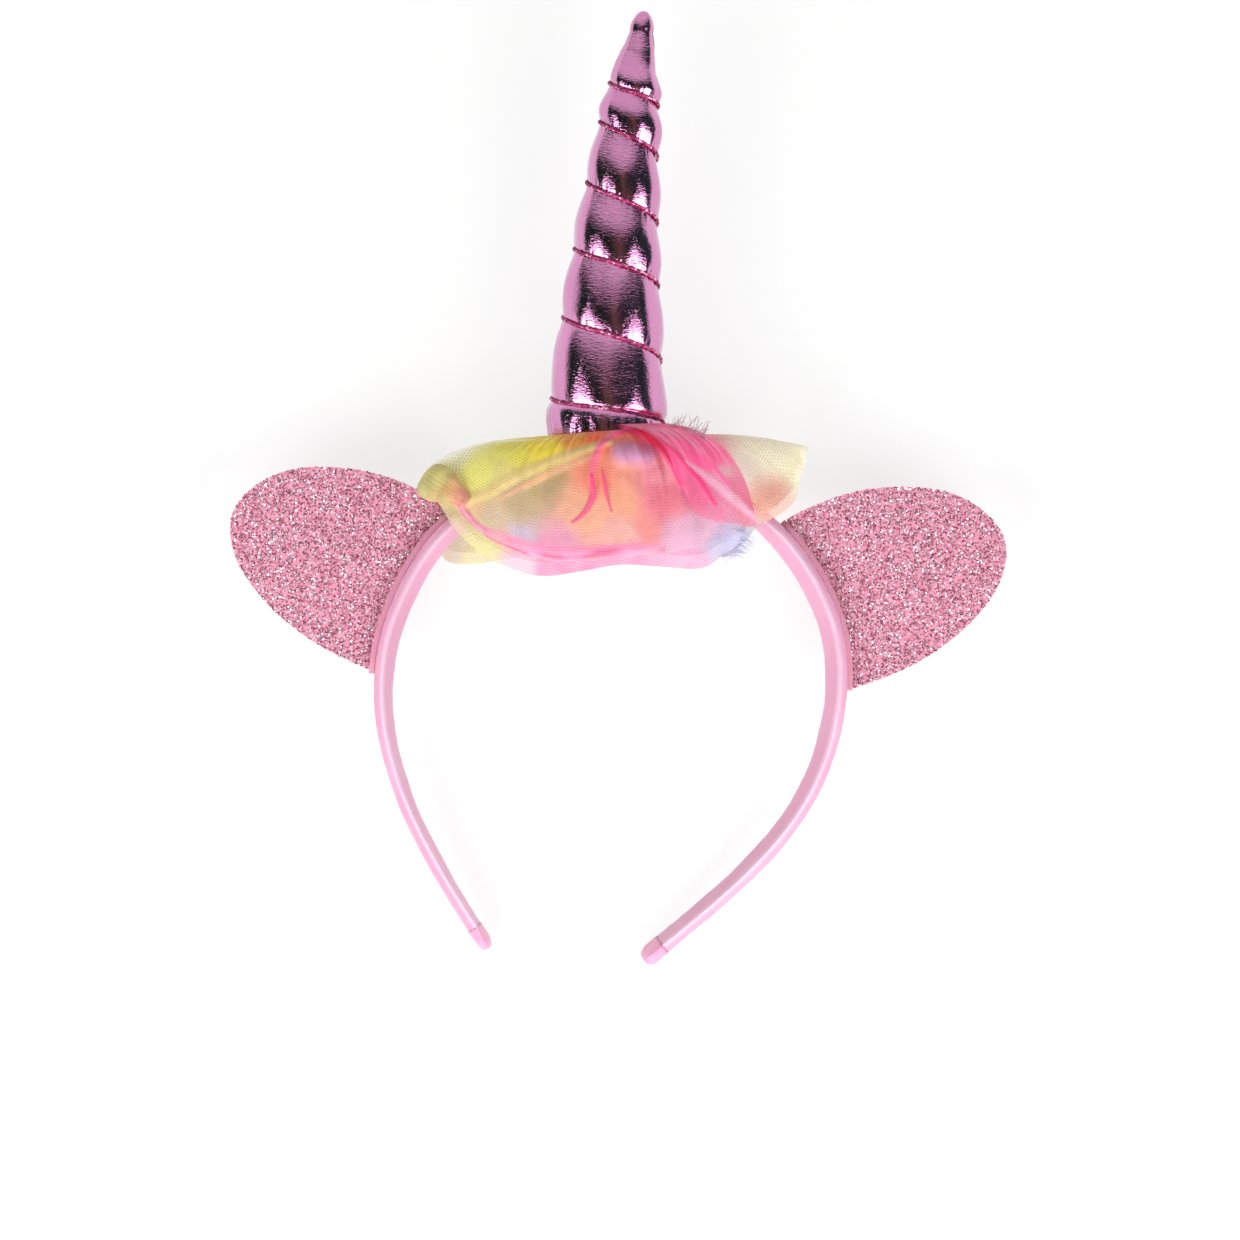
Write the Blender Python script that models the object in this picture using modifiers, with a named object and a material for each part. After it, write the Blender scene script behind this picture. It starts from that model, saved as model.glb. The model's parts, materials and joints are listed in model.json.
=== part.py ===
"""Unicorn horn headband, lying on its back as it rests on a table.

The shapes are drawn on a plan: x runs across the wearer's head, y up through the crown
towards the horn's tip, and z out of the front of the headband. An empty then lays that
plan on the table, leaning on the two arm ends and on the gathered tulle behind the horn.
"""
import math

import bmesh
import bpy
from mathutils import Vector

# Driving dimensions, in millimetres
GAP = 0.3                 # left between pieces that touch
BAND_WIDTH = 10.0         # front edge to back edge
BAND_THICKNESS = 3.0      # plastic strip with its satin wrap
BAND_CORNER = 1.1
RIBBON_END_LENGTH = 6.5   # end of the ribbon, folded over each arm end
RIBBON_END_EXTRA = 0.5    # how much thicker the folded end is than the band
FELT = 2.0                # glitter felt of the ears
EAR_TAB_WIDTH = 7.5       # bent base of an ear, glued on the band
EAR_TAB_CORNER = 0.4
EAR_STEPS = 4             # points to a row of an ear's outline
HORN_TIP = (10.0, 205.8)
HORN_FOOT = (-1.6, 71.5)  # middle of the base, on top of the crown
HORN_BOW = 2.2            # how far the middle of the horn bends to the left
HORN_BULGE = 1.5          # stuffing that swells between two turns of the cord
TIP_FOLD = 14.0           # length of the tip that the stuffing doesn't fill out
CORD_DIAMETER = 1.1
CORD_CLEARANCE = 0.65     # cord to horn, so that the facets of both stay apart
CORD_SPACING = 18.0       # a turn of the cord past its two ends
TULLE = 1.2               # wall that stands for a layer of tulle
GATHERS_AROUND = 26
GATHER_DEPTH = 0.9
RUFFLE_ROOT = 19.5        # radius of the gathered edge around the horn
RUFFLE_ROOT_UP = 76.0
RUFFLE_ROOT_ACROSS = -0.8
RUFFLE_ROOT_SLOPE = 0.06  # rises to the right

# How the headband leans on the table: under the arm ends, and under the tulle
HEEL = (-80.0, -5.6)      # up, forward
REST = (76.0, -20.6)

MM = 0.001
HORN_SIDES = 32
HORN_RING_STEP = 2.3
CORD_POINTS_PER_TURN = 20
CORD_ROW_STEPS = 8
CORD_ENDS = (-0.25, 5.75)  # in turns, both behind the horn

# Middle line of the band, from the left arm's end over the crown to the right arm's end.
# The twist turns the front edge outwards; steps is how many spans follow the row.
BAND_ROUTE = (
    # across, up, twist in degrees, steps
    (-37.3, -78.2, 5, 4),
    (-52.7, -53.0, 8, 5),
    (-63.8, -29.1, 11, 5),
    (-68.9, -4.0, 15, 5),
    (-65.4, 21.0, 19, 5),
    (-51.5, 45.6, 19, 6),
    (-28.0, 63.0, 8, 5),
    (-4.0, 68.9, 0, 1),
    (4.0, 68.9, 0, 5),
    (28.0, 63.0, 10, 6),
    (51.6, 45.5, 23, 5),
    (65.6, 21.5, 25, 5),
    (67.9, -3.0, 23, 5),
    (60.6, -28.8, 20, 5),
    (43.4, -52.5, 17, 7),
    (10.0, -81.8, 15, 0),
)

# Outline of an ear round the middle of the band, the same for both
EAR_OUTLINE = (
    # degrees from the ear's middle, reach from the band's centre
    (-21.7, 73.4),
    (-17.6, 90.9),
    (-11.9, 108.0),
    (-6.4, 120.0),
    (0.4, 126.3),
    (6.2, 121.8),
    (11.6, 109.5),
    (16.9, 92.4),
    (21.7, 72.6),
)
EARS = (
    # name, direction round the band from the crown, degrees to the ear's middle, shift out
    ("ear_left", 1, 153.4, 0.0),
    ("ear_right", -1, 22.3, 1.0),
)

HORN_PROFILE = (
    # distance from the tip, radius under the cord
    (0.0, 0.0),
    (1.6, 2.2),
    (4.6, 3.4),
    (7.0, 3.5),
    (12.0, 4.9),
    (24.6, 7.4),
    (38.5, 8.8),
    (57.0, 10.7),
    (77.0, 12.6),
    (99.0, 14.7),
    (127.0, 17.0),
    (140.0, 17.2),
)

# Where the cord passes the horn's left and right sides, one half turn to a row
CORD_HALF_TURNS = (22.6, 28.4, 34.6, 43.8, 53.2, 63.6, 73.6, 82.6, 94.6, 105.0, 119.4, 124.0)

# Layers of tulle, by the angle round the horn: 0 is right, 90 front, 180 left, 270 back.
# The swell pushes the middle of the layer out, away from the horn.
RUFFLE_HEM = (
    # degrees, across, up, forward, swell
    (0, 59.0, 73.4, 0.0, 0),
    (14, 57.4, 64.0, 5.0, 1),
    (26, 51.6, 55.6, 8.0, 2),
    (38, 43.0, 48.6, 10.0, 3),
    (46, 39.4, 43.8, 11.5, 4),
    (54, 33.6, 40.6, 13.5, 5),
    (66, 26.4, 36.6, 15.5, 6),
    (80, 14.0, 37.2, 17.5, 7),
    (94, 1.6, 37.6, 18.5, 7),
    (108, -10.4, 35.4, 18.5, 7),
    (122, -22.0, 34.4, 17.5, 7),
    (134, -31.6, 37.4, 15.5, 6),
    (146, -41.0, 42.4, 13.0, 5),
    (158, -49.0, 52.0, 9.5, 3),
    (169, -56.0, 59.6, 6.0, 1),
    (178, -57.6, 63.8, 1.0, 0),
    (187, -57.4, 63.0, -4.0, 0),
    (199, -54.4, 50.4, -9.5, 1),
    (212, -52.0, 41.0, -12.0, 1),
    (222, -45.4, 38.2, -14.0, 1),
    (238, -32.0, 40.0, -20.0, 1),
    (262, -8.0, 42.0, -22.0, 1),
    (288, 16.0, 43.0, -22.0, 1),
    (314, 36.0, 47.0, -18.0, 1),
    (334, 50.0, 56.0, -11.0, 1),
    (348, 57.6, 66.0, -5.0, 0),
)
OVERLAY_HEM = (
    # degrees, across, up, forward, swell
    (40, 33.0, 51.0, 18.0, 6),
    (54, 29.0, 45.0, 20.5, 8),
    (68, 20.0, 41.6, 22.5, 9),
    (82, 9.6, 40.4, 23.5, 9),
    (96, -2.4, 39.2, 24.5, 11),
    (110, -12.6, 38.4, 24.0, 11),
    (124, -22.0, 39.8, 22.5, 10),
    (138, -33.0, 43.8, 19.5, 9),
    (150, -41.6, 49.4, 16.0, 7),
    (160, -47.6, 56.4, 13.0, 5),
    (168, -56.0, 64.6, 9.5, 3),
)
FLAP_HEM = (
    # degrees, across, up, forward, swell
    (30, 42.0, 55.0, 17.0, 4),
    (36, 44.0, 50.0, 20.0, 6),
    (42, 38.0, 47.6, 23.5, 10),
    (50, 33.0, 48.6, 27.0, 12),
    (60, 27.0, 51.6, 30.0, 13),
    (71, 19.0, 56.0, 31.5, 13),
    (82, 10.0, 62.0, 31.5, 13),
)

TULLE_LAYERS = (
    # name, finish, hem table, closed ring, layer number up from the band, spans round
    ("tulle_ruffle", "rainbow_tulle", RUFFLE_HEM, True, 0, 80),
    ("tulle_overlay", "peach_tulle", OVERLAY_HEM, False, 1, 34),
    ("tulle_flap", "hot_pink_tulle", FLAP_HEM, False, 2, 20),
)
SPANS_OUT = 6             # from the gathered edge to the hem
LAYER_STEP = 1.7          # each layer is gathered this much above the one below
LAYER_DROOP = 1.2         # and turns down this much lower, so that the layers close up
SPOKE_BEND = 0.72         # how far along its run a spoke turns down

FINISHES = {
    # name: red, green, blue, roughness, metallic
    "pink_satin": (0.89, 0.53, 0.71, 0.35, 0.0),
    "rose_satin": (0.85, 0.39, 0.60, 0.40, 0.0),
    "rose_glitter_felt": (0.66, 0.22, 0.33, 0.55, 0.2),
    "pink_foil_knit": (0.72, 0.28, 0.56, 0.25, 0.9),
    "magenta_glitter_cord": (0.40, 0.04, 0.14, 0.45, 0.4),
    "rainbow_tulle": (0.88, 0.56, 0.45, 0.70, 0.0),
    "peach_tulle": (0.90, 0.42, 0.38, 0.70, 0.0),
    "hot_pink_tulle": (0.82, 0.10, 0.27, 0.65, 0.0),
}


# Scene, collections and materials
def clear_scene():
    for item in list(bpy.data.objects):
        bpy.data.objects.remove(item, do_unlink=True)


def new_collection(name):
    collection = bpy.data.collections.new(name)
    bpy.context.scene.collection.children.link(collection)
    return collection


def material(name):
    red, green, blue, roughness, metallic = FINISHES[name]
    finish = bpy.data.materials.get(name) or bpy.data.materials.new(name)
    finish.use_nodes = True
    shader = finish.node_tree.nodes["Principled BSDF"]
    shader.inputs["Base Color"].default_value = (red, green, blue, 1.0)
    shader.inputs["Roughness"].default_value = roughness
    shader.inputs["Metallic"].default_value = metallic
    return finish


def add_piece(name, data, finish):
    piece = bpy.data.objects.new(name, data)
    data.materials.append(material(finish))
    HEADBAND_PIECES.objects.link(piece)
    piece.parent = TABLE_POSE
    return piece


# Curves through the rows of a table
def catmull_rom(before, start, end, after, share):
    """Value on the smooth curve through start and end, share of the way between them."""
    return 0.5 * (
        2 * start
        + (end - before) * share
        + (2 * before - 5 * start + 4 * end - after) * share ** 2
        + (3 * start - before - 3 * end + after) * share ** 3
    )


def smooth_row(rows, place):
    """The row at a whole or part number of rows down a table, smooth between the rows."""
    row = min(int(place), len(rows) - 2)
    picks = [rows[min(max(row + shift, 0), len(rows) - 1)] for shift in (-1, 0, 1, 2)]
    return [catmull_rom(*values, place - row) for values in zip(*picks)]


def read_table(rows, key, period=None):
    """The rest of a row at a value of its first column, smooth between the rows."""
    if period:
        first, last = rows[0], rows[-1]
        rows = (
            [(last[0] - period, *last[1:])] + list(rows) + [(first[0] + period, *first[1:])]
        )
        key = (key - first[0]) % period + first[0]
    index = 0
    while index < len(rows) - 2 and rows[index + 1][0] <= key:
        index += 1
    start, end = rows[index], rows[index + 1]
    before = rows[index - 1] if index else start
    after = rows[index + 2] if index + 2 < len(rows) else end
    share = min(max((key - start[0]) / (end[0] - start[0]), 0.0), 1.0)
    columns = zip(before[1:], start[1:], end[1:], after[1:])
    return [catmull_rom(*values, share) for values in columns]


def straight_value(rows, key):
    """The second column at a value of the first, with straight lines between the rows."""
    for (low, low_value), (high, high_value) in zip(rows, rows[1:]):
        if key <= high:
            return low_value + (high_value - low_value) * (key - low) / (high - low)
    return rows[-1][1]


# Meshes
def mesh_from(name, points, faces):
    mesh = bpy.data.meshes.new(name)
    mesh.from_pydata([[value * MM for value in point] for point in points], [], faces)
    mesh.update()
    return mesh


def loft(name, rings):
    """A closed skin over rings of points, each ring closed on itself, with flat ends."""
    sides = len(rings[0])
    points = [point for ring in rings for point in ring]
    faces = []
    for ring in range(len(rings) - 1):
        for side in range(sides):
            after = (side + 1) % sides
            low, high = ring * sides, (ring + 1) * sides
            faces.append((low + side, low + after, high + after, high + side))
    faces.append(tuple(reversed(range(sides))))
    faces.append(tuple(range((len(rings) - 1) * sides, len(rings) * sides)))
    mesh = mesh_from(name, points, faces)
    shell = bmesh.new()
    shell.from_mesh(mesh)
    bmesh.ops.remove_doubles(shell, verts=shell.verts, dist=0.00001)
    bmesh.ops.recalc_face_normals(shell, faces=shell.faces)
    shell.to_mesh(mesh)
    shell.free()
    mesh.shade_smooth()
    mesh.set_sharp_from_angle(angle=math.radians(40))
    return mesh


def as_mesh(drafted):
    """A drawn curve as a mesh with its caps welded on, with the curve removed."""
    bpy.context.view_layer.update()
    evaluated = drafted.evaluated_get(bpy.context.evaluated_depsgraph_get())
    mesh = bpy.data.meshes.new_from_object(evaluated)
    shell = bmesh.new()
    shell.from_mesh(mesh)
    bmesh.ops.remove_doubles(shell, verts=shell.verts, dist=0.00001)
    shell.to_mesh(mesh)
    shell.free()
    mesh.materials.clear()
    bpy.data.objects.remove(drafted, do_unlink=True)
    return mesh


# Band
def band_frames():
    """Places along the band: middle, direction of the front edge, direction outwards."""
    route = []
    for index, (_, _, _, steps) in enumerate(BAND_ROUTE):
        for step in range(steps):
            route.append(smooth_row(BAND_ROUTE, index + step / steps)[:3])
    route.append(BAND_ROUTE[-1][:3])
    frames = []
    for index, (across, up, twist) in enumerate(route):
        before = route[max(index - 1, 0)]
        after = route[min(index + 1, len(route) - 1)]
        along = Vector((after[0] - before[0], after[1] - before[1], 0)).normalized()
        outwards = Vector((-along.y, along.x, 0))
        front = Vector((0, 0, 1))
        turn = math.radians(twist)
        front_edge = front * math.cos(turn) + outwards * math.sin(turn)
        outer_face = outwards * math.cos(turn) - front * math.sin(turn)
        frames.append((Vector((across, up, 0)), front_edge, outer_face))
    return frames


def rounded_section(width, thickness, corner, corner_steps):
    """Points round a rectangle with round corners, as (towards front, towards outside)."""
    points = []
    for quarter in range(4):
        towards_front = 1 if quarter in (0, 3) else -1
        towards_outside = 1 if quarter in (0, 1) else -1
        for step in range(corner_steps + 1):
            angle = math.radians(90 * (quarter + step / corner_steps))
            points.append((
                towards_front * (width / 2 - corner) + corner * math.cos(angle),
                towards_outside * (thickness / 2 - corner) + corner * math.sin(angle),
            ))
    return points


def strip(name, frames, width, inside, outside, corner, corner_steps=2):
    """A strip that follows the band, from inside to outside of its middle surface."""
    middle = (inside + outside) / 2
    section = rounded_section(width, outside - inside, corner, corner_steps)
    return loft(name, [
        [centre + edge * across + face * (middle + out) for across, out in section]
        for centre, edge, face in frames
    ])


def length_along(frames):
    total, lengths = 0.0, [0.0]
    for before, after in zip(frames, frames[1:]):
        total += (after[0] - before[0]).length
        lengths.append(total)
    return lengths


def cut_frames(frames, start, end):
    """The frames between two lengths along the band, with new ones at the cuts."""
    lengths = length_along(frames)

    def frame_at(place):
        index = max(number for number, length in enumerate(lengths[:-1]) if length <= place)
        share = (place - lengths[index]) / (lengths[index + 1] - lengths[index])
        low, high = frames[index], frames[index + 1]
        centre, edge, face = (start.lerp(end, share) for start, end in zip(low, high))
        return centre, edge.normalized(), face.normalized()

    between = [frame for frame, length in zip(frames, lengths) if start < length < end]
    return [frame_at(start)] + between + [frame_at(end)]


def make_band(frames):
    total = length_along(frames)[-1]
    inner = (RIBBON_END_LENGTH + GAP, total - RIBBON_END_LENGTH - GAP)
    half = BAND_THICKNESS / 2
    mesh = strip("headband", cut_frames(frames, *inner), BAND_WIDTH, -half, half, BAND_CORNER)
    add_piece("headband", mesh, "pink_satin")
    half += RIBBON_END_EXTRA / 2
    width = BAND_WIDTH + RIBBON_END_EXTRA
    ends = {
        "ribbon_end_left": (0.0, RIBBON_END_LENGTH),
        "ribbon_end_right": (total - RIBBON_END_LENGTH, total),
    }
    for name, (start, end) in ends.items():
        mesh = strip(name, cut_frames(frames, start, end), width, -half, half, BAND_CORNER)
        add_piece(name, mesh, "rose_satin")


# Ears
def polar(degrees, reach):
    """A place on the plan, by direction and distance from the band's centre."""
    angle = math.radians(degrees)
    return Vector((reach * math.cos(angle), reach * math.sin(angle), 0))


def ear_plate(name, direction, middle, shift_out, base):
    """The flat of an ear, down to the middle of its bent base."""
    rim = []
    for step in range((len(EAR_OUTLINE) - 1) * EAR_STEPS + 1):
        degrees, reach = smooth_row(EAR_OUTLINE, step / EAR_STEPS)
        rim.append(polar(middle + direction * degrees, reach + shift_out))
    seat = BAND_THICKNESS / 2 + GAP + FELT / 2
    root = [centre + outwards * seat for centre, edge, outwards in base]
    if (root[0] - rim[-1]).length > (root[-1] - rim[-1]).length:
        root.reverse()
    drawing = bpy.data.curves.new(name, "CURVE")
    drawing.dimensions = "2D"
    drawing.fill_mode = "BOTH"
    drawing.extrude = FELT / 2 * MM
    spline = drawing.splines.new("POLY")
    spline.points.add(len(rim + root) - 1)
    for point, place in zip(spline.points, rim + root):
        point.co = (place.x * MM, place.y * MM, 0, 1)
    spline.use_cyclic_u = True
    drafted = bpy.data.objects.new(name, drawing)
    HEADBAND_PIECES.objects.link(drafted)
    return as_mesh(drafted)


def make_ear(name, direction, middle, shift_out, frames):
    """A flat die-cut ear whose base is bent over and glued on the band's outer face."""
    half_base = abs(EAR_OUTLINE[0][0]) + 1
    base = [
        frame for frame in frames
        if abs(math.degrees(math.atan2(frame[0].y, frame[0].x)) - middle) < half_base
    ]
    ear = add_piece(name, ear_plate(name, direction, middle, shift_out, base), "rose_glitter_felt")
    low = BAND_THICKNESS / 2 + GAP
    tab_name = name + "_tab"
    tab_mesh = strip(tab_name, base, EAR_TAB_WIDTH, low, low + FELT, EAR_TAB_CORNER, 1)
    tab = bpy.data.objects.new(tab_name, tab_mesh)
    tab.parent = TABLE_POSE
    tab.hide_render = True
    tab.display_type = "WIRE"
    CUTTERS.objects.link(tab)
    union = ear.modifiers.new("bent base", "BOOLEAN")
    union.operation = "UNION"
    union.solver = "EXACT"
    union.object = tab


# Horn and its cord
def cord_turn_table():
    """Distance from the tip against turns of the cord, run on past both its ends."""
    rows = [(index / 2, distance) for index, distance in enumerate(CORD_HALF_TURNS)]
    first, last = CORD_HALF_TURNS[0], CORD_HALF_TURNS[-1]
    last_turn = rows[-1][0]
    rows.insert(0, (-0.5, first - CORD_SPACING / 2))
    rows.insert(0, (-1.0, first - CORD_SPACING))
    rows.append((last_turn + 0.5, last + CORD_SPACING / 2))
    rows.append((last_turn + 1.0, last + CORD_SPACING))
    places = [step / CORD_ROW_STEPS for step in range((len(rows) - 1) * CORD_ROW_STEPS + 1)]
    return [tuple(smooth_row(rows, place)) for place in places]


def horn_axis():
    """The horn's tip, its directions down to the base and to its right, and its length."""
    tip, foot = (Vector((*place, 0)) for place in (HORN_TIP, HORN_FOOT))
    down = (foot - tip).normalized()
    right = Vector((-down.y, down.x, 0))
    return tip, down, right, (foot - tip).length


def horn_radius(from_tip, angle, turn_table):
    """Radius of the stuffed horn: drawn in under the cord, swelling between its turns."""
    table = [(distance, turn) for turn, distance in turn_table]
    turns = straight_value(table, max(from_tip, table[0][0]))
    phase = (turns - (math.pi - angle) / (2 * math.pi)) % 1.0
    radius = straight_value(HORN_PROFILE, from_tip)
    near_tip = min(from_tip / TIP_FOLD, 1.0)
    return radius + HORN_BULGE * near_tip * math.sin(math.pi * phase)


def on_horn(from_tip, angle, radius):
    """A place on the horn: 0 degrees is its right side and 90 its front."""
    tip, down, right, length = horn_axis()
    share = from_tip / length
    middle = tip + down * from_tip - right * HORN_BOW * 4 * share * (1 - share)
    front = Vector((0, 0, 1))
    return middle + (right * math.cos(angle) + front * math.sin(angle)) * radius


def make_horn():
    length = horn_axis()[3]
    count = round(length / HORN_RING_STEP)
    turn_table = cord_turn_table()
    distances = [0.0, 0.5, 1.6] + [length * ring / count for ring in range(2, count + 1)]
    rings = []
    for distance in distances:
        ring = []
        for side in range(HORN_SIDES):
            angle = 2 * math.pi * side / HORN_SIDES
            ring.append(on_horn(distance, angle, horn_radius(distance, angle, turn_table)))
        rings.append(ring)
    rings[0] = [on_horn(0, 0, 0)] * HORN_SIDES
    mesh = loft("horn", rings)
    add_piece("horn", mesh, "pink_foil_knit")


def make_cord():
    """The cord wound down the horn, from behind its tip to behind its base."""
    drawing = bpy.data.curves.new("horn_cord", "CURVE")
    drawing.dimensions = "3D"
    drawing.bevel_depth = CORD_DIAMETER / 2 * MM
    drawing.bevel_resolution = 2
    drawing.use_fill_caps = True
    table = cord_turn_table()
    start, end = CORD_ENDS
    spline = drawing.splines.new("POLY")
    count = round((end - start) * CORD_POINTS_PER_TURN)
    spline.points.add(count)
    for index, point in enumerate(spline.points):
        turns = start + (end - start) * index / count
        distance = straight_value(table, turns)
        angle = math.pi - 2 * math.pi * turns
        radius = straight_value(HORN_PROFILE, distance) + CORD_CLEARANCE + CORD_DIAMETER / 2
        place = on_horn(distance, angle, radius / math.cos(math.pi / CORD_POINTS_PER_TURN))
        point.co = (*(place * MM), 1)
    add_piece("horn_cord", drawing, "magenta_glitter_cord")


# Tulle
def floor_forward(up):
    """Where the table lies, as a forward value at a height on the plan."""
    slope = (REST[1] - HEEL[1]) / (REST[0] - HEEL[0])
    return HEEL[1] + slope * (up - HEEL[0])


def tulle_point(hem_table, closed, layer, degrees, out):
    """A place on a layer, from its gathered edge at the horn, 0, to its hem, 1."""
    period = 360 if closed else None
    across, up, forward, swell = read_table(hem_table, degrees, period)
    angle = math.radians(degrees)
    radial = Vector((math.cos(angle), 0, math.sin(angle)))
    root = radial * RUFFLE_ROOT
    root.x += RUFFLE_ROOT_ACROSS
    root.y = RUFFLE_ROOT_UP + RUFFLE_ROOT_SLOPE * root.x + LAYER_STEP * layer
    hem = Vector((across, up, forward))
    bend = root.lerp(hem, SPOKE_BEND)
    bend.y = root.y - LAYER_DROOP * layer
    bend += radial * swell
    place = root * (1 - out) ** 2 + bend * 2 * out * (1 - out) + hem * out ** 2
    lift = Vector((0, 1, 0)).lerp(radial, 0.5 + 0.5 * abs(math.sin(angle))).normalized()
    gather = GATHER_DEPTH * out * math.sin(angle * GATHERS_AROUND)
    return place + lift * gather


def make_tulle(name, finish, hem_table, closed, layer, spans_round):
    start, end = hem_table[0][0], hem_table[-1][0]
    sweep = 360 if closed else end - start
    columns = spans_round if closed else spans_round + 1
    points, faces = [], []
    for column in range(columns):
        degrees = start + sweep * column / spans_round
        for row in range(SPANS_OUT + 1):
            place = tulle_point(hem_table, closed, layer, degrees, row / SPANS_OUT)
            place.z = max(place.z, floor_forward(place.y) + TULLE / 2)
            points.append(place)
    rows = SPANS_OUT + 1
    for column in range(spans_round):
        after = (column + 1) % columns
        for row in range(SPANS_OUT):
            low, high = column * rows + row, after * rows + row
            faces.append((low, low + 1, high + 1, high))
    mesh = mesh_from(name, points, faces)
    mesh.shade_smooth()
    piece = add_piece(name, mesh, finish)
    wall = piece.modifiers.new("thickness", "SOLIDIFY")
    wall.thickness = TULLE * MM
    wall.offset = 0.0
    wall.use_even_offset = False


# Pose on the table
def lay_on_table():
    """Leans the plan on the table and puts the box's bottom centre at the origin."""
    slope = (HEEL[1] - REST[1]) / (REST[0] - HEEL[0])
    TABLE_POSE.rotation_euler = (math.atan(slope), 0, 0)
    bpy.context.view_layer.update()
    graph = bpy.context.evaluated_depsgraph_get()
    corners = []
    for piece in HEADBAND_PIECES.objects:
        evaluated = piece.evaluated_get(graph)
        mesh = evaluated.to_mesh()
        corners += [evaluated.matrix_world @ vertex.co for vertex in mesh.vertices]
        evaluated.to_mesh_clear()
    low = [min(corner[axis] for corner in corners) for axis in range(3)]
    high = [max(corner[axis] for corner in corners) for axis in range(3)]
    TABLE_POSE.location = (-(low[0] + high[0]) / 2, -(low[1] + high[1]) / 2, -low[2])
    bpy.context.view_layer.update()


clear_scene()
HEADBAND_PIECES = new_collection("unicorn horn headband")
CUTTERS = new_collection("cutters")
TABLE_POSE = bpy.data.objects.new("table_pose", None)
CUTTERS.objects.link(TABLE_POSE)

band = band_frames()
make_band(band)
for ear_values in EARS:
    make_ear(*ear_values, band)
make_horn()
make_cord()
for layer_values in TULLE_LAYERS:
    make_tulle(*layer_values)
lay_on_table()
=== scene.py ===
"""Looks of a unicorn horn headband that lies on its back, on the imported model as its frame."""
import json
import math

import bmesh
import bpy
from mathutils import Matrix, Vector, noise


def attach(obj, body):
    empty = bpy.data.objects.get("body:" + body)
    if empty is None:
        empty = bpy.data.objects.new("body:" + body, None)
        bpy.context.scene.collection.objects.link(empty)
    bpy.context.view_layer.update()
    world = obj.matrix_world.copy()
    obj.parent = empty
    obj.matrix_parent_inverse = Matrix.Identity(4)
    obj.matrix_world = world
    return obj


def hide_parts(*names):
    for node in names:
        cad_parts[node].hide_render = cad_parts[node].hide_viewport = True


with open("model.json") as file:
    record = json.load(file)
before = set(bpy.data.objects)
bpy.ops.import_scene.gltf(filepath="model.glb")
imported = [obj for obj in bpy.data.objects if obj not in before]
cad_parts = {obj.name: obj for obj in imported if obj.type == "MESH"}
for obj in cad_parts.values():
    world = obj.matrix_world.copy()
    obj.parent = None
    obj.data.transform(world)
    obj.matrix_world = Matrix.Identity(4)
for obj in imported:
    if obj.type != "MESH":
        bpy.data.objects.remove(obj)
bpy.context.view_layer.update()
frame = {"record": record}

# Camera
# The headband is drawn on a plan, in millimetres: x across the head, y up through the crown
# and z out of its front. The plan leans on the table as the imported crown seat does, and the
# camera looks squarely at it from about a metre, as in the photograph.
MM = 0.001
CROWN_SEAT = Vector((0, 67.402, 0))
PHOTO_MIDDLE = Vector((2.7, 21.2, 0))
PHOTO_WIDTH = 375.8
LENS, SENSOR = 100.0, 36.0

seat = frame["record"]["mounts"][0]
lean = math.atan2(-seat["axis"][2], -seat["axis"][1])
plan_to_row = (
    Matrix.Translation(seat["pos_m"])
    @ Matrix.Rotation(lean, 4, "X")
    @ Matrix.Scale(MM, 4)
    @ Matrix.Translation(-CROWN_SEAT)
)


def in_row(place):
    """A place on the plan, in millimetres, as a place in the row frame, in metres."""
    return plan_to_row @ Vector(place)


camera_data = bpy.data.cameras.new("photo_camera")
camera_data.lens = LENS
camera_data.sensor_width = SENSOR
camera_data.clip_start = 0.05
camera_data.clip_end = 20
camera = bpy.data.objects.new("photo_camera", camera_data)
camera_distance = PHOTO_WIDTH * LENS / SENSOR
camera.location = in_row(PHOTO_MIDDLE + Vector((0, 0, camera_distance)))
camera.rotation_euler = (lean, 0, 0)
bpy.context.scene.collection.objects.link(camera)
bpy.context.scene.camera = camera
bpy.context.scene.view_settings.view_transform = "Standard"


# Floor and studio light
# A matt white table, bright enough to leave hardly a shadow, in a light tent. The tent is white
# towards the horn's tip and round the foot, and open overhead, where the dark room shows in the
# foil of the horn. A wide soft box stands on each side of the wearer's end.
def colour(hex_value):
    """An sRGB hex value as linear red, green, blue and alpha."""
    parts = [int(hex_value[start:start + 2], 16) / 255 for start in (1, 3, 5)]
    return (*(p / 12.92 if p <= 0.04045 else ((p + 0.055) / 1.055) ** 2.4 for p in parts), 1.0)


def add_node(tree, kind, inputs=None, **settings):
    """Adds a node with its settings. An input is given a value, or a socket to link from."""
    node = tree.nodes.new(kind)
    for name, value in settings.items():
        setattr(node, name, value)
    for name, value in (inputs or {}).items():
        if isinstance(value, bpy.types.NodeSocket):
            tree.links.new(value, node.inputs[name])
        else:
            node.inputs[name].default_value = value
    return node


def maths(tree, operation, *values, **settings):
    """What a Math node makes of numbers or sockets."""
    inputs = dict(enumerate(values))
    return add_node(tree, "ShaderNodeMath", inputs, operation=operation, **settings).outputs[0]


def ranged(tree, value, low, high, to_low=0.0, to_high=1.0, **settings):
    """What a Map Range node makes of a value between low and high."""
    return add_node(tree, "ShaderNodeMapRange", {
        "Value": value, "From Min": low, "From Max": high, "To Min": to_low, "To Max": to_high,
    }, **settings).outputs[0]


def mixed_colour(tree, factor, first, second, **settings):
    return add_node(tree, "ShaderNodeMix", {
        "Factor": factor, "A": first, "B": second,
    }, data_type="RGBA", **settings).outputs["Result"]


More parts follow.
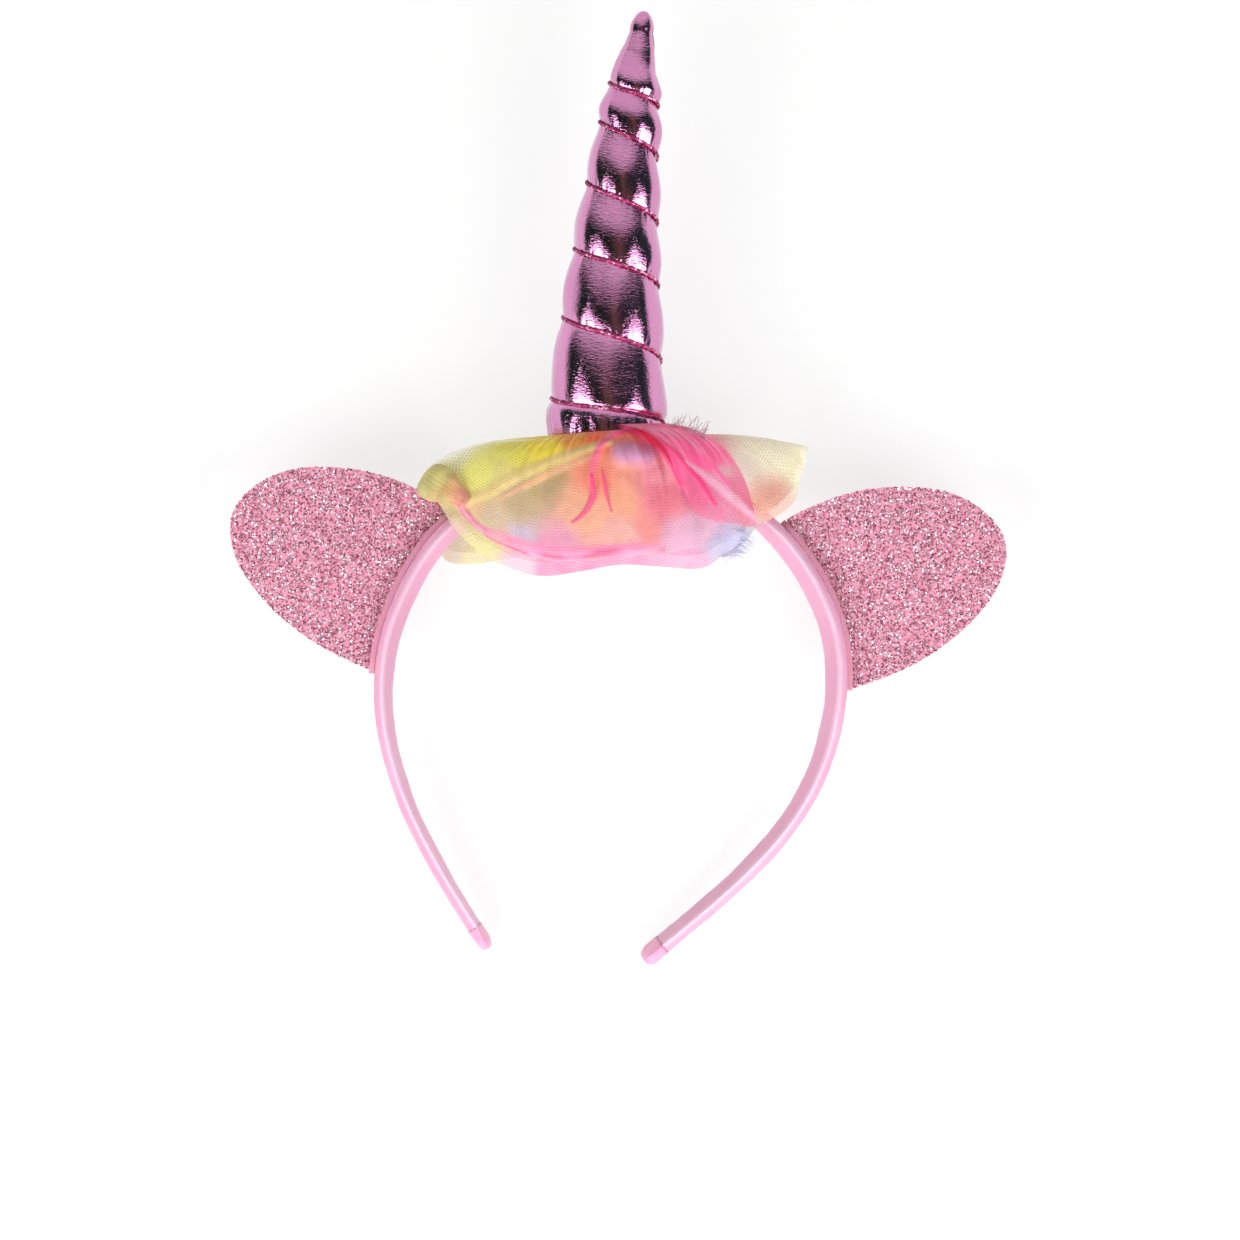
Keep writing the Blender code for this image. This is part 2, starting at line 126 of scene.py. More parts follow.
def ramped(tree, factor, shades, interpolation="LINEAR"):
    """A colour ramp's colour at a factor, with its shades as (position, colour)."""
    node = add_node(tree, "ShaderNodeValToRGB", {"Fac": factor})
    node.color_ramp.interpolation = interpolation
    elements = node.color_ramp.elements
    for element, (position, shade) in zip(elements, (shades[0], shades[-1])):
        element.position, element.color = position, colour(shade)
    for position, shade in shades[1:-1]:
        elements.new(position).color = colour(shade)
    return node.outputs["Color"]


def new_material(name):
    finish = bpy.data.materials.new(name)
    finish.use_nodes = True
    finish.node_tree.nodes.clear()
    return finish, finish.node_tree


def surfaced(tree, inputs):
    """Ends a material in a Principled shader with these inputs."""
    shader = add_node(tree, "ShaderNodeBsdfPrincipled", inputs)
    add_node(tree, "ShaderNodeOutputMaterial", {"Surface": shader.outputs["BSDF"]})


FLOOR_HALF, FLOOR_DROP = 1.5, 0.0003
floor_mesh = bpy.data.meshes.new("floor")
floor_mesh.from_pydata(
    [(x * FLOOR_HALF, y * FLOOR_HALF, 0) for x, y in ((-1, -1), (1, -1), (1, 1), (-1, 1))],
    [], [(0, 1, 2, 3)],
)
floor = bpy.data.objects.new("floor", floor_mesh)
floor.location.z = -FLOOR_DROP
bpy.context.scene.collection.objects.link(floor)
# matt emulsion paint, lifted to a paper white that keeps only faint shadows
floor_paint, tree = new_material("matt white table paint")
surfaced(tree, {
    "Base Color": colour("#8E8E8E"), "Roughness": 0.9, "Specular IOR Level": 0.1,
    "Emission Color": colour("#FFFFFF"), "Emission Strength": 0.72,
})
floor_mesh.materials.append(floor_paint)

TENT_STRENGTH = 0.89
OPENING_ARCH = -0.27
ROOM_SHADES = (
    # share of the way from left to right, colour of the dark room above the tent
    (0.0, "#0C3A1E"), (0.28, "#0E2A1A"), (0.40, "#24361E"), (0.47, "#6E6450"), (0.58, "#6E6450"),
    (0.68, "#1A302C"), (1.0, "#26443E"),
)
tent = bpy.data.worlds.new("light tent")
tent.use_nodes = True
bpy.context.scene.world = tent
tree = tent.node_tree
tree.nodes.clear()
turned = add_node(tree, "ShaderNodeMapping", {
    "Vector": add_node(tree, "ShaderNodeTexCoord").outputs["Generated"], "Rotation": (-lean, 0, 0),
})
axes = add_node(tree, "ShaderNodeSeparateXYZ", {"Vector": turned.outputs["Vector"]})
rightward, tipward, upward = axes.outputs
arched = maths(tree, "MULTIPLY_ADD", maths(tree, "MULTIPLY", rightward, rightward), OPENING_ARCH, tipward)
opening = maths(
    tree, "MULTIPLY",
    ranged(tree, arched, 0.46, 0.38, interpolation_type="SMOOTHSTEP"),
    ranged(tree, tipward, -0.82, -0.72, interpolation_type="SMOOTHSTEP"),
)
opening = maths(tree, "MULTIPLY", opening, ranged(tree, upward, -0.01, 0.05, interpolation_type="SMOOTHSTEP"))
room = ramped(tree, ranged(tree, rightward, -1.0, 1.0), ROOM_SHADES)
light = add_node(tree, "ShaderNodeBackground", {
    "Color": mixed_colour(tree, opening, colour("#FFFFFF"), room), "Strength": TENT_STRENGTH,
})
add_node(tree, "ShaderNodeOutputWorld", {"Surface": light.outputs["Background"]})

LAMP_AIM, LAMP_REACH = Vector((0, 110, 0)), 900
SOFT_BOXES = (
    # name, degrees to the side and towards the foot as seen from the horn, width and height
    # in metres, watts
    ("soft_box_left", -47, 33, 0.94, 0.52, 9.3),
    ("soft_box_right", 45, 32, 0.78, 0.52, 8.0),
)
for name, aside, down, width, height, watts in SOFT_BOXES:
    lamp = bpy.data.lights.new(name, "AREA")
    lamp.shape = "RECTANGLE"
    lamp.size, lamp.size_y = width, height
    lamp.energy = watts
    soft_box = bpy.data.objects.new(name, lamp)
    aside, down = math.radians(aside), math.radians(down)
    away = Vector((math.sin(aside) * math.cos(down), -math.sin(down), math.cos(aside) * math.cos(down)))
    soft_box.location = in_row(LAMP_AIM + away * LAMP_REACH)
    pointing = (in_row(LAMP_AIM) - soft_box.location).normalized()
    soft_box.rotation_euler = pointing.to_track_quat("-Z", "Y").to_euler()
    bpy.context.scene.collection.objects.link(soft_box)


# Headband
# A springy plastic strip pulled into a sleeve of pale pink satin. The sleeve's seam runs as a
# fine raised lip along the corner between the front edge and the inner face, with a highlight painted along
# it.
def smooth_row(rows, place):
    """The row at a whole or part number of rows down a table, smooth between the rows."""
    row = min(int(place), len(rows) - 2)
    picks = [rows[min(max(row + shift, 0), len(rows) - 1)] for shift in (-1, 0, 1, 2)]
    share = place - row
    return [
        0.5 * (2 * b + (c - a) * share + (2 * a - 5 * b + 4 * c - d) * share ** 2
               + (3 * b - a - 3 * c + d) * share ** 3)
        for a, b, c, d in zip(*picks)
    ]


def skin_mesh(name, rows, closed_rows=True, closed_ends=False, capped=False):
    """Faces over rows of plan points. Rows, and the run of rows, may close on themselves."""
    across = len(rows[0])
    mesh = bpy.data.meshes.new(name)
    faces = []
    for row in range(len(rows) if closed_ends else len(rows) - 1):
        after_row = (row + 1) % len(rows)
        for column in range(across if closed_rows else across - 1):
            after = (column + 1) % across
            faces.append((row * across + column, row * across + after,
                          after_row * across + after, after_row * across + column))
    if capped:
        faces.append(tuple(reversed(range(across))))
        faces.append(tuple(range((len(rows) - 1) * across, len(rows) * across)))
    mesh.from_pydata([in_row(point) for row in rows for point in row], [], faces)
    mesh.update()
    return mesh


def clean_closed(mesh):
    """Welds doubled points and turns the faces of a closed mesh outwards."""
    shell = bmesh.new()
    shell.from_mesh(mesh)
    bmesh.ops.remove_doubles(shell, verts=shell.verts, dist=0.00001)
    bmesh.ops.recalc_face_normals(shell, faces=shell.faces)
    shell.to_mesh(mesh)
    shell.free()
    mesh.shade_smooth()


def add_piece(name, mesh, finish, replaced=()):
    """A finished mesh as a piece that rides on the headband."""
    piece = bpy.data.objects.new(name, mesh)
    bpy.context.scene.collection.objects.link(piece)
    mesh.materials.clear()
    mesh.materials.append(finish)
    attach(piece, "root")
    if replaced:
        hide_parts(*replaced)
    return piece


BAND_WIDTH, BAND_THICKNESS, BAND_CORNER = 10.0, 3.0, 0.7
# the seam's raised lip, and how far the highlight painted along it reaches, in millimetres
SEAM_LIP, SEAM_HIGHLIGHT_REACH = 0.40, 0.48
RIBBON_END_LENGTH = 6.5
BAND_ROUTE = (
    # across, up, twist of the front edge outwards in degrees
    (-37.3, -78.2, 5), (-52.7, -53.0, 8), (-63.8, -29.1, 11), (-68.9, -4.0, 15),
    (-65.4, 21.0, 19), (-51.5, 45.6, 19), (-28.0, 63.0, 8), (-4.0, 68.9, 0),
    (4.0, 68.9, 0), (28.0, 63.0, 10), (51.6, 45.5, 23), (65.6, 21.5, 25),
    (67.9, -3.0, 23), (60.6, -28.8, 20), (43.4, -52.5, 17), (10.0, -81.8, 15),
)

band_points = [smooth_row(BAND_ROUTE, step / 40) for step in range(40 * (len(BAND_ROUTE) - 1) + 1)]
band_frames, along_band = [], 0.0
for index, (across, up, twist) in enumerate(band_points):
    before = band_points[max(index - 1, 0)]
    after = band_points[min(index + 1, len(band_points) - 1)]
    along = Vector((after[0] - before[0], after[1] - before[1], 0)).normalized()
    outwards = Vector((-along.y, along.x, 0))
    turn = math.radians(twist)
    front_edge = Vector((0, 0, math.cos(turn))) + outwards * math.sin(turn)
    outer_face = outwards * math.cos(turn) - Vector((0, 0, math.sin(turn)))
    if index:
        along_band += (Vector((across, up, 0)) - band_frames[-1][0]).length
    band_frames.append((Vector((across, up, 0)), front_edge, outer_face, along_band))
band_length = along_band


def band_section(width, thickness, corner, lip, steps=5):
    """Points round the sleeve, as (towards front, towards outside), with its seam's lip."""
    def on_corner(quarter, share, reach):
        angle = math.radians(90 * (quarter + share))
        front = 1 if quarter % 4 in (0, 3) else -1
        outside = 1 if quarter % 4 in (0, 1) else -1
        return (front * (width / 2 - corner) + reach * math.cos(angle),
                outside * (thickness / 2 - corner) + reach * math.sin(angle))

    points = []
    for quarter in range(4):
        for step in range(steps + 1):
            raised = lip * math.exp(-((step / steps - 0.5) / 0.22) ** 2) if quarter == 3 else 0.0
            points.append(on_corner(quarter, step / steps, corner + raised))
        # more points on the long faces, which the satin's wrinkles need
        last, coming = points[-1], on_corner(quarter + 1, 0, corner)
        spans = 5 if quarter in (0, 2) else 2
        for step in range(1, spans):
            share = step / spans
            points.append((last[0] + (coming[0] - last[0]) * share, last[1] + (coming[1] - last[1]) * share))
    return points


def sleeve_rows(start, end, width, thickness, corner, lip, wrinkle, round_tip=0.0):
    """Rows of points round the band between two lengths along it. Its tips may be rounded."""
    section = band_section(width, thickness, corner, lip)
    rows = []
    for centre, edge, face, length in band_frames:
        if start <= length <= end:
            row = []
            to_tip = min(length, band_length - length)
            full = 1.0 - 0.42 * (1 - to_tip / round_tip) ** 2 if to_tip < round_tip else 1.0
            for front, outside in section:
                front, outside = front * full, outside * full
                point = centre + edge * front + face * outside
                ripple = noise.noise(Vector((length * 0.10, front * 0.35, outside * 0.8)))
                ripple += 0.5 * noise.noise(Vector((length * 0.45, front * 0.6, outside + 7)))
                row.append(point + (edge * front / width + face * outside / thickness) * ripple * wrinkle)
            rows.append(row)
    return rows


def paint_seam_highlight(mesh, rows_made):
    """Marks the points of the lip, where a pale highlight line is painted on the satin."""
    mesh.attributes.new("seam", "FLOAT", "POINT")
    seam = mesh.attributes["seam"]
    section = band_section(BAND_WIDTH, BAND_THICKNESS, BAND_CORNER, SEAM_LIP)
    for index in range(rows_made * len(section)):
        front, outside = section[index % len(section)]
        gap = math.hypot(front - BAND_WIDTH / 2 + 0.3, outside + BAND_THICKNESS / 2 - 0.3)
        seam.data[index].value = math.exp(-(gap / SEAM_HIGHLIGHT_REACH) ** 2)


def object_place(tree):
    return add_node(tree, "ShaderNodeTexCoord").outputs["Object"]


def cloud_at(tree, place, scale, detail=3.0, roughness=0.5):
    """A cloud of noise, from 0 to 1, with its scale in clouds to the metre."""
    return add_node(tree, "ShaderNodeTexNoise", {
        "Vector": place, "Scale": scale, "Detail": detail, "Roughness": roughness,
    }).outputs["Fac"]


def relief_from(tree, height, strength, depth):
    """The normal of a fine relief, its depth in metres."""
    return add_node(tree, "ShaderNodeBump", {
        "Height": height, "Strength": strength, "Distance": depth,
    }).outputs["Normal"]


# satin weave: floating threads give it a soft gloss, and a pale line along the seam's lip is a painted
# highlight. The threads are drawn 0.9 mm apart, since real ones are too fine to show.
satin, tree = new_material("pink satin ribbon")
place = object_place(tree)
shade = mixed_colour(tree, cloud_at(tree, place, 45.0), colour("#CA86A6"), colour("#D8A1BB"))
seam = add_node(tree, "ShaderNodeAttribute", attribute_name="seam")
threads = add_node(tree, "ShaderNodeTexWave", {
    "Vector": place, "Scale": 420.0, "Distortion": 2.0, "Detail": 2.0, "Detail Scale": 2.0,
}, wave_type="BANDS", bands_direction="DIAGONAL")
surfaced(tree, {
    # a highlight line painted pale along the seam's lip, standing in for the gloss that catches it
    "Base Color": mixed_colour(tree, seam.outputs["Fac"], shade, colour("#EFD3E4")),
    "Roughness": 0.38, "Sheen Weight": 0.12, "Sheen Roughness": 0.35, "Specular IOR Level": 0.3,
    "Anisotropic": 0.5, "Normal": relief_from(tree, threads.outputs["Fac"], 0.08, 0.0002),
})

rows = sleeve_rows(RIBBON_END_LENGTH + 0.1, band_length - RIBBON_END_LENGTH - 0.1,
                   BAND_WIDTH, BAND_THICKNESS, BAND_CORNER, SEAM_LIP, 0.30)
sleeve = skin_mesh("satin_band", rows, capped=True)
paint_seam_highlight(sleeve, len(rows))
clean_closed(sleeve)
add_piece("satin_band", sleeve, satin, ["headband"])


# Ribbon ends
# The end of the sleeve is folded over the tip of each arm and glued: a second, darker layer
# of the satin with a crease across it.
RIBBON_OVERLAP, RIBBON_STEP, RIBBON_CORNER, RIBBON_ROUND = 1.4, 0.3, 0.9, 3.2

# the same satin weave in a deeper rose, pressed flat, so that its gloss is duller
satin_end, tree = new_material("rose satin ribbon")
surfaced(tree, {
    "Base Color": mixed_colour(tree, cloud_at(tree, object_place(tree), 160.0), colour("#D987AC"),
                               colour("#E6A6C2")),
    "Roughness": 0.42, "Sheen Weight": 0.12, "Specular IOR Level": 0.4,
})

for name, start, end in (
    ("ribbon_end_left", 0.0, RIBBON_END_LENGTH + RIBBON_OVERLAP),
    ("ribbon_end_right", band_length - RIBBON_END_LENGTH - RIBBON_OVERLAP, band_length),
):
    rows = sleeve_rows(start, end, BAND_WIDTH + RIBBON_STEP, BAND_THICKNESS + RIBBON_STEP,
                       RIBBON_CORNER, 0.1, 0.55, round_tip=RIBBON_ROUND)
    fold = skin_mesh(name + "_fold", rows, capped=True)
    clean_closed(fold)
    add_piece(name + "_fold", fold, satin_end, [name])


# Ears
# Each is die-cut from 2 mm craft felt with glitter glued on its front. Its base is bent over
# and glued on the outer face of the band, where a strip of the plain felt shows.
FELT, FELT_ROUND = 2.0, 0.25
EAR_SPANS = 12
EAR_TAB_WIDTH, EAR_TAB_CORNER = 7.5, 0.4
EAR_SEAT = BAND_THICKNESS / 2 + 0.3 + FELT / 2  # from the band's middle to the felt's
EAR_OUTLINE = (
    # degrees from the ear's middle, reach from the band's centre
    (-21.7, 73.4), (-17.6, 90.9), (-11.9, 108.0), (-6.4, 120.0), (0.4, 126.3),
    (6.2, 121.8), (11.6, 109.5), (16.9, 92.4), (21.7, 72.6),
)
EARS = (
    # name, direction round the band from the crown, degrees to the ear's middle, shift out,
    # seed of its flakes
    ("ear_left", 1, 153.4, 0.0, 3),
    ("ear_right", -1, 22.3, 1.0, 4),
)
FLAKE_WIDTH = 0.64
FLAKES_PER_SQUARE_MM = 3.6

# pressed polyester felt: matt, with a fine cloud of fibres
felt, tree = new_material("rose craft felt")
fibres = cloud_at(tree, object_place(tree), 900.0, 4.0, 0.7)
surfaced(tree, {
    "Base Color": mixed_colour(tree, fibres, colour("#C97794"), colour("#DF9CB4")),
    "Roughness": 0.85, "Sheen Weight": 0.4, "Specular IOR Level": 0.2,
    "Normal": relief_from(tree, fibres, 0.5, 0.0004),
})

# metallised polyester film: each flake has one tone and a hard small gloss. They are drawn
# twice as wide as they are, to show at all
glitter, tree = new_material("pink polyester glitter")
tone = add_node(tree, "ShaderNodeAttribute", attribute_name="flake_tone")
surfaced(tree, {
    "Base Color": ramped(tree, tone.outputs["Fac"], (
        (0.0, "#863E55"), (0.17, "#9E5067"), (0.40, "#B46C80"), (0.60, "#C68A98"),
        (0.71, "#D8B2BC"), (0.79, "#9A8890"), (0.84, "#F2E6E9"),
    ), "CONSTANT"),
    "Roughness": 0.32, "Metallic": 0.35,
})


def grow_tree(name, source, values, made):
    """A Geometry Nodes tree with named inputs, and the sockets of those inputs."""
    tree = bpy.data.node_groups.new(name, "GeometryNodeTree")
    tree.interface.new_socket(source, in_out="INPUT", socket_type="NodeSocketGeometry")
    for label, kind, value in values:
        socket = tree.interface.new_socket(label, in_out="INPUT", socket_type="NodeSocket" + kind)
        if value is not None:
            socket.default_value = value
    tree.interface.new_socket(made, in_out="OUTPUT", socket_type="NodeSocketGeometry")
    return tree, add_node(tree, "NodeGroupInput").outputs


def end_tree(tree, geometry, finish):
    """Ends a Geometry Nodes tree: its copies become real and take their material."""
    real = add_node(tree, "GeometryNodeRealizeInstances", {"Geometry": geometry})
    finished = add_node(tree, "GeometryNodeSetMaterial", {
        "Geometry": real.outputs["Geometry"], "Material": finish,
    })
    add_node(tree, "NodeGroupOutput", {0: finished.outputs["Geometry"]})


def by_chance(tree, low, high, seed):
    """A number between low and high for each copy."""
    return add_node(tree, "FunctionNodeRandomValue", {
        2: low, 3: high, "Seed": seed,
    }, data_type="FLOAT").outputs[1]


def vector_by_chance(tree, low, high, seed):
    """A vector for each copy, between two rows of three numbers or sockets."""
    low, high = (
        add_node(tree, "ShaderNodeCombineXYZ", dict(zip("XYZ", row))).outputs[0] for row in (low, high)
    )
    return add_node(tree, "FunctionNodeRandomValue", {
        0: low, 1: high, "Seed": seed,
    }, data_type="FLOAT_VECTOR").outputs[0]


def turned_by(tree, rotation, turn):
    """A rotation with a turn about its own axes added."""
    return add_node(tree, "FunctionNodeRotateRotation", {
        "Rotation": rotation, "Rotate By": turn,
    }, rotation_space="LOCAL").outputs[0]


def copies_on(tree, points, thing, rotation, size):
    return add_node(tree, "GeometryNodeInstanceOnPoints", {
        "Points": points, "Instance": thing, "Rotation": rotation, "Scale": size,
    }).outputs["Instances"]


# Geometry Nodes lay small hexagons of film on a face, each tilted and toned by chance
flake_tree, given = grow_tree("glitter flakes", "Face", (
    ("Flakes per square metre", "Float", FLAKES_PER_SQUARE_MM / MM ** 2),
    ("Flake width", "Float", FLAKE_WIDTH * MM),
    ("Tilt", "Float", 0.55),
    ("Seed", "Int", 3),
), "Flakes")
scatter = add_node(flake_tree, "GeometryNodeDistributePointsOnFaces", {
    "Mesh": given["Face"], "Density": given["Flakes per square metre"], "Seed": given["Seed"],
})
film = add_node(flake_tree, "GeometryNodeMeshCircle", {
    "Vertices": 6, "Radius": maths(flake_tree, "MULTIPLY", given["Flake width"], 0.5),
}, fill_type="NGON")
tilt, back_tilt = given["Tilt"], maths(flake_tree, "MULTIPLY", given["Tilt"], -1.0)
chance_turn = vector_by_chance(flake_tree, (back_tilt, back_tilt, -3.14), (tilt, tilt, 3.14), 11)
laid = copies_on(
    flake_tree, scatter.outputs["Points"], film.outputs["Mesh"],
    turned_by(flake_tree, scatter.outputs["Rotation"], chance_turn), by_chance(flake_tree, 0.55, 1.15, 12),
)
toned = add_node(flake_tree, "GeometryNodeStoreNamedAttribute", {
    "Geometry": laid, "Name": "flake_tone", "Value": by_chance(flake_tree, 0.0, 1.0, 13),
}, data_type="FLOAT", domain="INSTANCE")
end_tree(flake_tree, toned.outputs["Geometry"], glitter)


def grown(name, mesh, tree, values=()):
    """The mesh that a Geometry Nodes tree makes of a mesh, with the modifier gone."""
    carrier = bpy.data.objects.new(name + "_carrier", mesh)
    bpy.context.scene.collection.objects.link(carrier)
    growing = carrier.modifiers.new(tree.name, "NODES")
    growing.node_group = tree
    sockets = {item.name: item.identifier for item in tree.interface.items_tree if item.in_out == "INPUT"}
    for label, value in values:
        growing[sockets[label]] = value
    bpy.context.view_layer.update()
    evaluated = carrier.evaluated_get(bpy.context.evaluated_depsgraph_get())
    result = bpy.data.meshes.new_from_object(evaluated)
    result.name = name
    bpy.data.objects.remove(carrier, do_unlink=True)
    return result


def polar(degrees, reach):
    """A place on the plan, by direction and distance from the band's centre."""
    return Vector((reach * math.cos(math.radians(degrees)), reach * math.sin(math.radians(degrees)), 0))


for name, direction, middle, shift_out, flake_seed in EARS:
    rim = []
    for step in range((len(EAR_OUTLINE) - 1) * EAR_SPANS + 1):
        degrees, reach = smooth_row(EAR_OUTLINE, step / EAR_SPANS)
        rim.append(polar(middle + direction * degrees, reach + shift_out))
    half_base = abs(EAR_OUTLINE[0][0]) + 1
    base = [frame_here for frame_here in band_frames
            if abs(math.degrees(math.atan2(frame_here[0].y, frame_here[0].x)) - middle) < half_base]
    base = base[::6] + [base[-1]]
    root = [centre + face * EAR_SEAT for centre, edge, face, length in base]
    if (root[0] - rim[-1]).length > (root[-1] - rim[-1]).length:
        root.reverse()
    outline = rim + root[1:-1]
    plate = bmesh.new()
    rings = []
    back, front = -FELT / 2, FELT / 2
    for height, inset in (
        (back, FELT_ROUND), (back + FELT_ROUND, 0.0), (front - FELT_ROUND, 0.0), (front, FELT_ROUND),
    ):
        ring = []
        for index, point in enumerate(outline):
            along = (outline[(index + 1) % len(outline)] - outline[index - 1]).normalized()
            inwards = Vector((-along.y, along.x, 0)) * (direction * -1)
            ring.append(plate.verts.new(in_row(point + inwards * inset + Vector((0, 0, height)))))
        rings.append(ring)
    for low_ring, high_ring in zip(rings, rings[1:]):
        for index in range(len(outline)):
            after = (index + 1) % len(outline)
            plate.faces.new((low_ring[index], low_ring[after], high_ring[after], high_ring[index]))
    plate.faces.new(rings[0][::-1])
    front_face = plate.faces.new(rings[-1])
    bmesh.ops.recalc_face_normals(plate, faces=plate.faces)
    front_points = [point.co.copy() for point in front_face.verts]
    mesh = bpy.data.meshes.new(name + "_felt")
    plate.to_mesh(mesh)
    plate.free()
    mesh.shade_smooth()
    mesh.set_sharp_from_angle(angle=math.radians(35))
    tab_rows = [
        [centre + edge * front + face * (EAR_SEAT + out)
         for front, out in band_section(EAR_TAB_WIDTH, FELT, EAR_TAB_CORNER, 0)]
        for centre, edge, face, length in base
    ]
    tab = skin_mesh(name + "_base", tab_rows, capped=True)
    clean_closed(tab)
    add_piece(name + "_base", tab, felt)
    add_piece(name + "_felt", mesh, felt, [name])
    face_mesh = bpy.data.meshes.new(name + "_front")
    face_mesh.from_pydata(front_points, [], [tuple(range(len(front_points)))])
    face_mesh.update()
    if face_mesh.polygons[0].normal.z < 0:
        face_mesh.flip_normals()
    face_mesh.transform(Matrix.Translation((0, 0, 0.0001)))
    flakes = grown(name + "_glitter", face_mesh, flake_tree, [("Seed", flake_seed)])
    add_piece(name + "_glitter", flakes, glitter)


# Horn
# A cone of metallic foil knit, stuffed with loose polyester. The cord draws it in, so that it
# swells between the turns, and its tip is turned in to a small folded knob.
HORN_TIP, HORN_FOOT = Vector((10.0, 205.8, 0)), Vector((-1.6, 71.5, 0))
HORN_BOW, HORN_FLATNESS, HORN_BULGE = 2.2, 0.9, 1.7
TIP_FOLD = 24.0       # length of the tip that the stuffing doesn't fill out
BASE_GATHERS = 122.0  # where the gathers of the base begin, from the tip
HORN_PROFILE = (
    # distance from the tip, radius under the cord
    (0.0, 0.0), (0.3, 1.1), (0.8, 1.75), (1.6, 2.3), (3.0, 2.95), (4.6, 3.35), (5.8, 3.35), (6.4, 3.2),
    (7.0, 3.3), (9.0, 3.75), (12.0, 4.5), (18.0, 5.6), (22.0, 6.7), (24.6, 7.3), (38.5, 8.7), (57.0, 10.6),
    (77.0, 12.5), (99.0, 14.6), (123.0, 16.8), (129.0, 16.7), (134.0, 16.2), (140.0, 15.4),
)
# distances from the tip at which the cord is at the left and then the right, from the left on
CORD_HALF_TURNS = (22.6, 28.4, 34.6, 43.8, 53.2, 63.6, 73.6, 82.6, 94.6, 105.0, 119.4, 124.0)
HORN_SIDES, HORN_RING_STEP = 144, 0.6

horn_down = (HORN_FOOT - HORN_TIP).normalized()
horn_right = Vector((-horn_down.y, horn_down.x, 0))
horn_length = (HORN_FOOT - HORN_TIP).length


def straight_value(rows, key):
    """The second column at a value of the first, with straight lines between the rows."""
    for (low, low_value), (high, high_value) in zip(rows, rows[1:]):
        if key <= high:
            return low_value + (high_value - low_value) * (key - low) / (high - low)
    return rows[-1][1]


turn_rows = [(index / 2, distance) for index, distance in enumerate(CORD_HALF_TURNS)]
turn_rows = [(-1.0, 4.6), (-0.5, 13.6)] + turn_rows + [(6.0, 133.0), (6.5, 142.0)]
cord_turns = [tuple(smooth_row(turn_rows, step / 8)) for step in range((len(turn_rows) - 1) * 8 + 1)]
turns_by_distance = [(distance, turn) for turn, distance in cord_turns]


def on_horn(from_tip, angle, radius):
    """A place on the horn: angle 0 is its right side and a quarter turn its front."""
    share = from_tip / horn_length
    middle = HORN_TIP + horn_down * from_tip - horn_right * HORN_BOW * 4 * share * (1 - share)
    return middle + (horn_right * math.cos(angle) + Vector((0, 0, HORN_FLATNESS * math.sin(angle)))) * radius


def horn_radius(from_tip, angle):
    """Radius of the knit, puckered at the cord. Its stuffing sags towards the foot of each turn."""
    turns = straight_value(turns_by_distance, max(from_tip, turns_by_distance[0][0]))
    turns_here = turns - (math.pi - angle) / (2 * math.pi)
    phase = turns_here % 1.0 if turns_here > 0 else max(turns_here + 1.0, 0.3)
    near_tip = min(from_tip / TIP_FOLD, 1.0)
    share = min(from_tip / horn_length, 1.0)
    swell = math.sin(math.pi * phase ** (1.7 - 0.8 * share)) ** (1.0 - 0.42 * share)
    round_horn = Vector((math.cos(angle), math.sin(angle), 0)) * 2.2
    lumps = noise.noise(round_horn + Vector((0, 0, from_tip * 0.07)))
    pucker = noise.noise(round_horn * 7 + Vector((0, 0, from_tip * 0.12)))
    pinch = math.exp(-(min(phase, 1 - phase) / 0.13) ** 2)
    pinch += 1.5 * max(0.0, min((from_tip - BASE_GATHERS) / 4, 1.0))
    return (straight_value(HORN_PROFILE, from_tip) + HORN_BULGE * near_tip * swell
            + near_tip * (0.45 * lumps * swell + 0.30 * pucker * pinch))


# aluminium foil under pink lacquer on a ribbed knit: a tinted mirror, which the ribs, 0.45 mm
# apart, draw out to short level streaks, with a thin clear coat
knit, tree = new_material("pink metallic foil knit")
place = object_place(tree)
upright = add_node(tree, "ShaderNodeMapping", {
    "Vector": place, "Rotation": (-lean, 0, math.atan2(-horn_down.x, -horn_down.y)),
})
stretched = add_node(tree, "ShaderNodeMapping", {
    "Vector": upright.outputs["Vector"], "Scale": (620.0, 2300.0, 620.0),
})
ribs = cloud_at(tree, stretched.outputs["Vector"], 1.0, 2.0, 0.6)
folds = maths(tree, "MULTIPLY", cloud_at(tree, place, 120.0), 0.6)
surfaced(tree, {
    "Base Color": mixed_colour(tree, ribs, colour("#CB80B0"), colour("#DC96C4")),
    "Metallic": 1.0, "Roughness": 0.14, "Coat Weight": 0.6, "Coat Roughness": 0.12,
    "Normal": relief_from(tree, maths(tree, "ADD", ribs, folds), 0.31, 0.0004),
})

ring_count = round(horn_length / HORN_RING_STEP)
distances = [0.0, 0.15, 0.3, 0.55] + [horn_length * ring / ring_count for ring in range(2, ring_count + 1)]
angles = [2 * math.pi * side / HORN_SIDES for side in range(HORN_SIDES)]
rows = [
    [on_horn(distance, angle, horn_radius(distance, angle) if distance else 0.0) for angle in angles]
    for distance in distances
]
horn_mesh = skin_mesh("foil_horn", rows, capped=True)
clean_closed(horn_mesh)
horn = add_piece("foil_horn", horn_mesh, knit, ["horn"])


# Horn cord
# Three plies of magenta viscose with metallic thread, twisted to a cord about 1 mm thick and
# wound tightly down the horn from behind its tip to behind its base.
PLY_RADIUS, PLY_OFFSET, CORD_LAY = 0.26, 0.23, 2.7
CORD_LIFT = 0.66  # from the knit to the middle of the cord
CORD_START, CORD_END, CORD_POINTS = -0.25, 5.75, 600

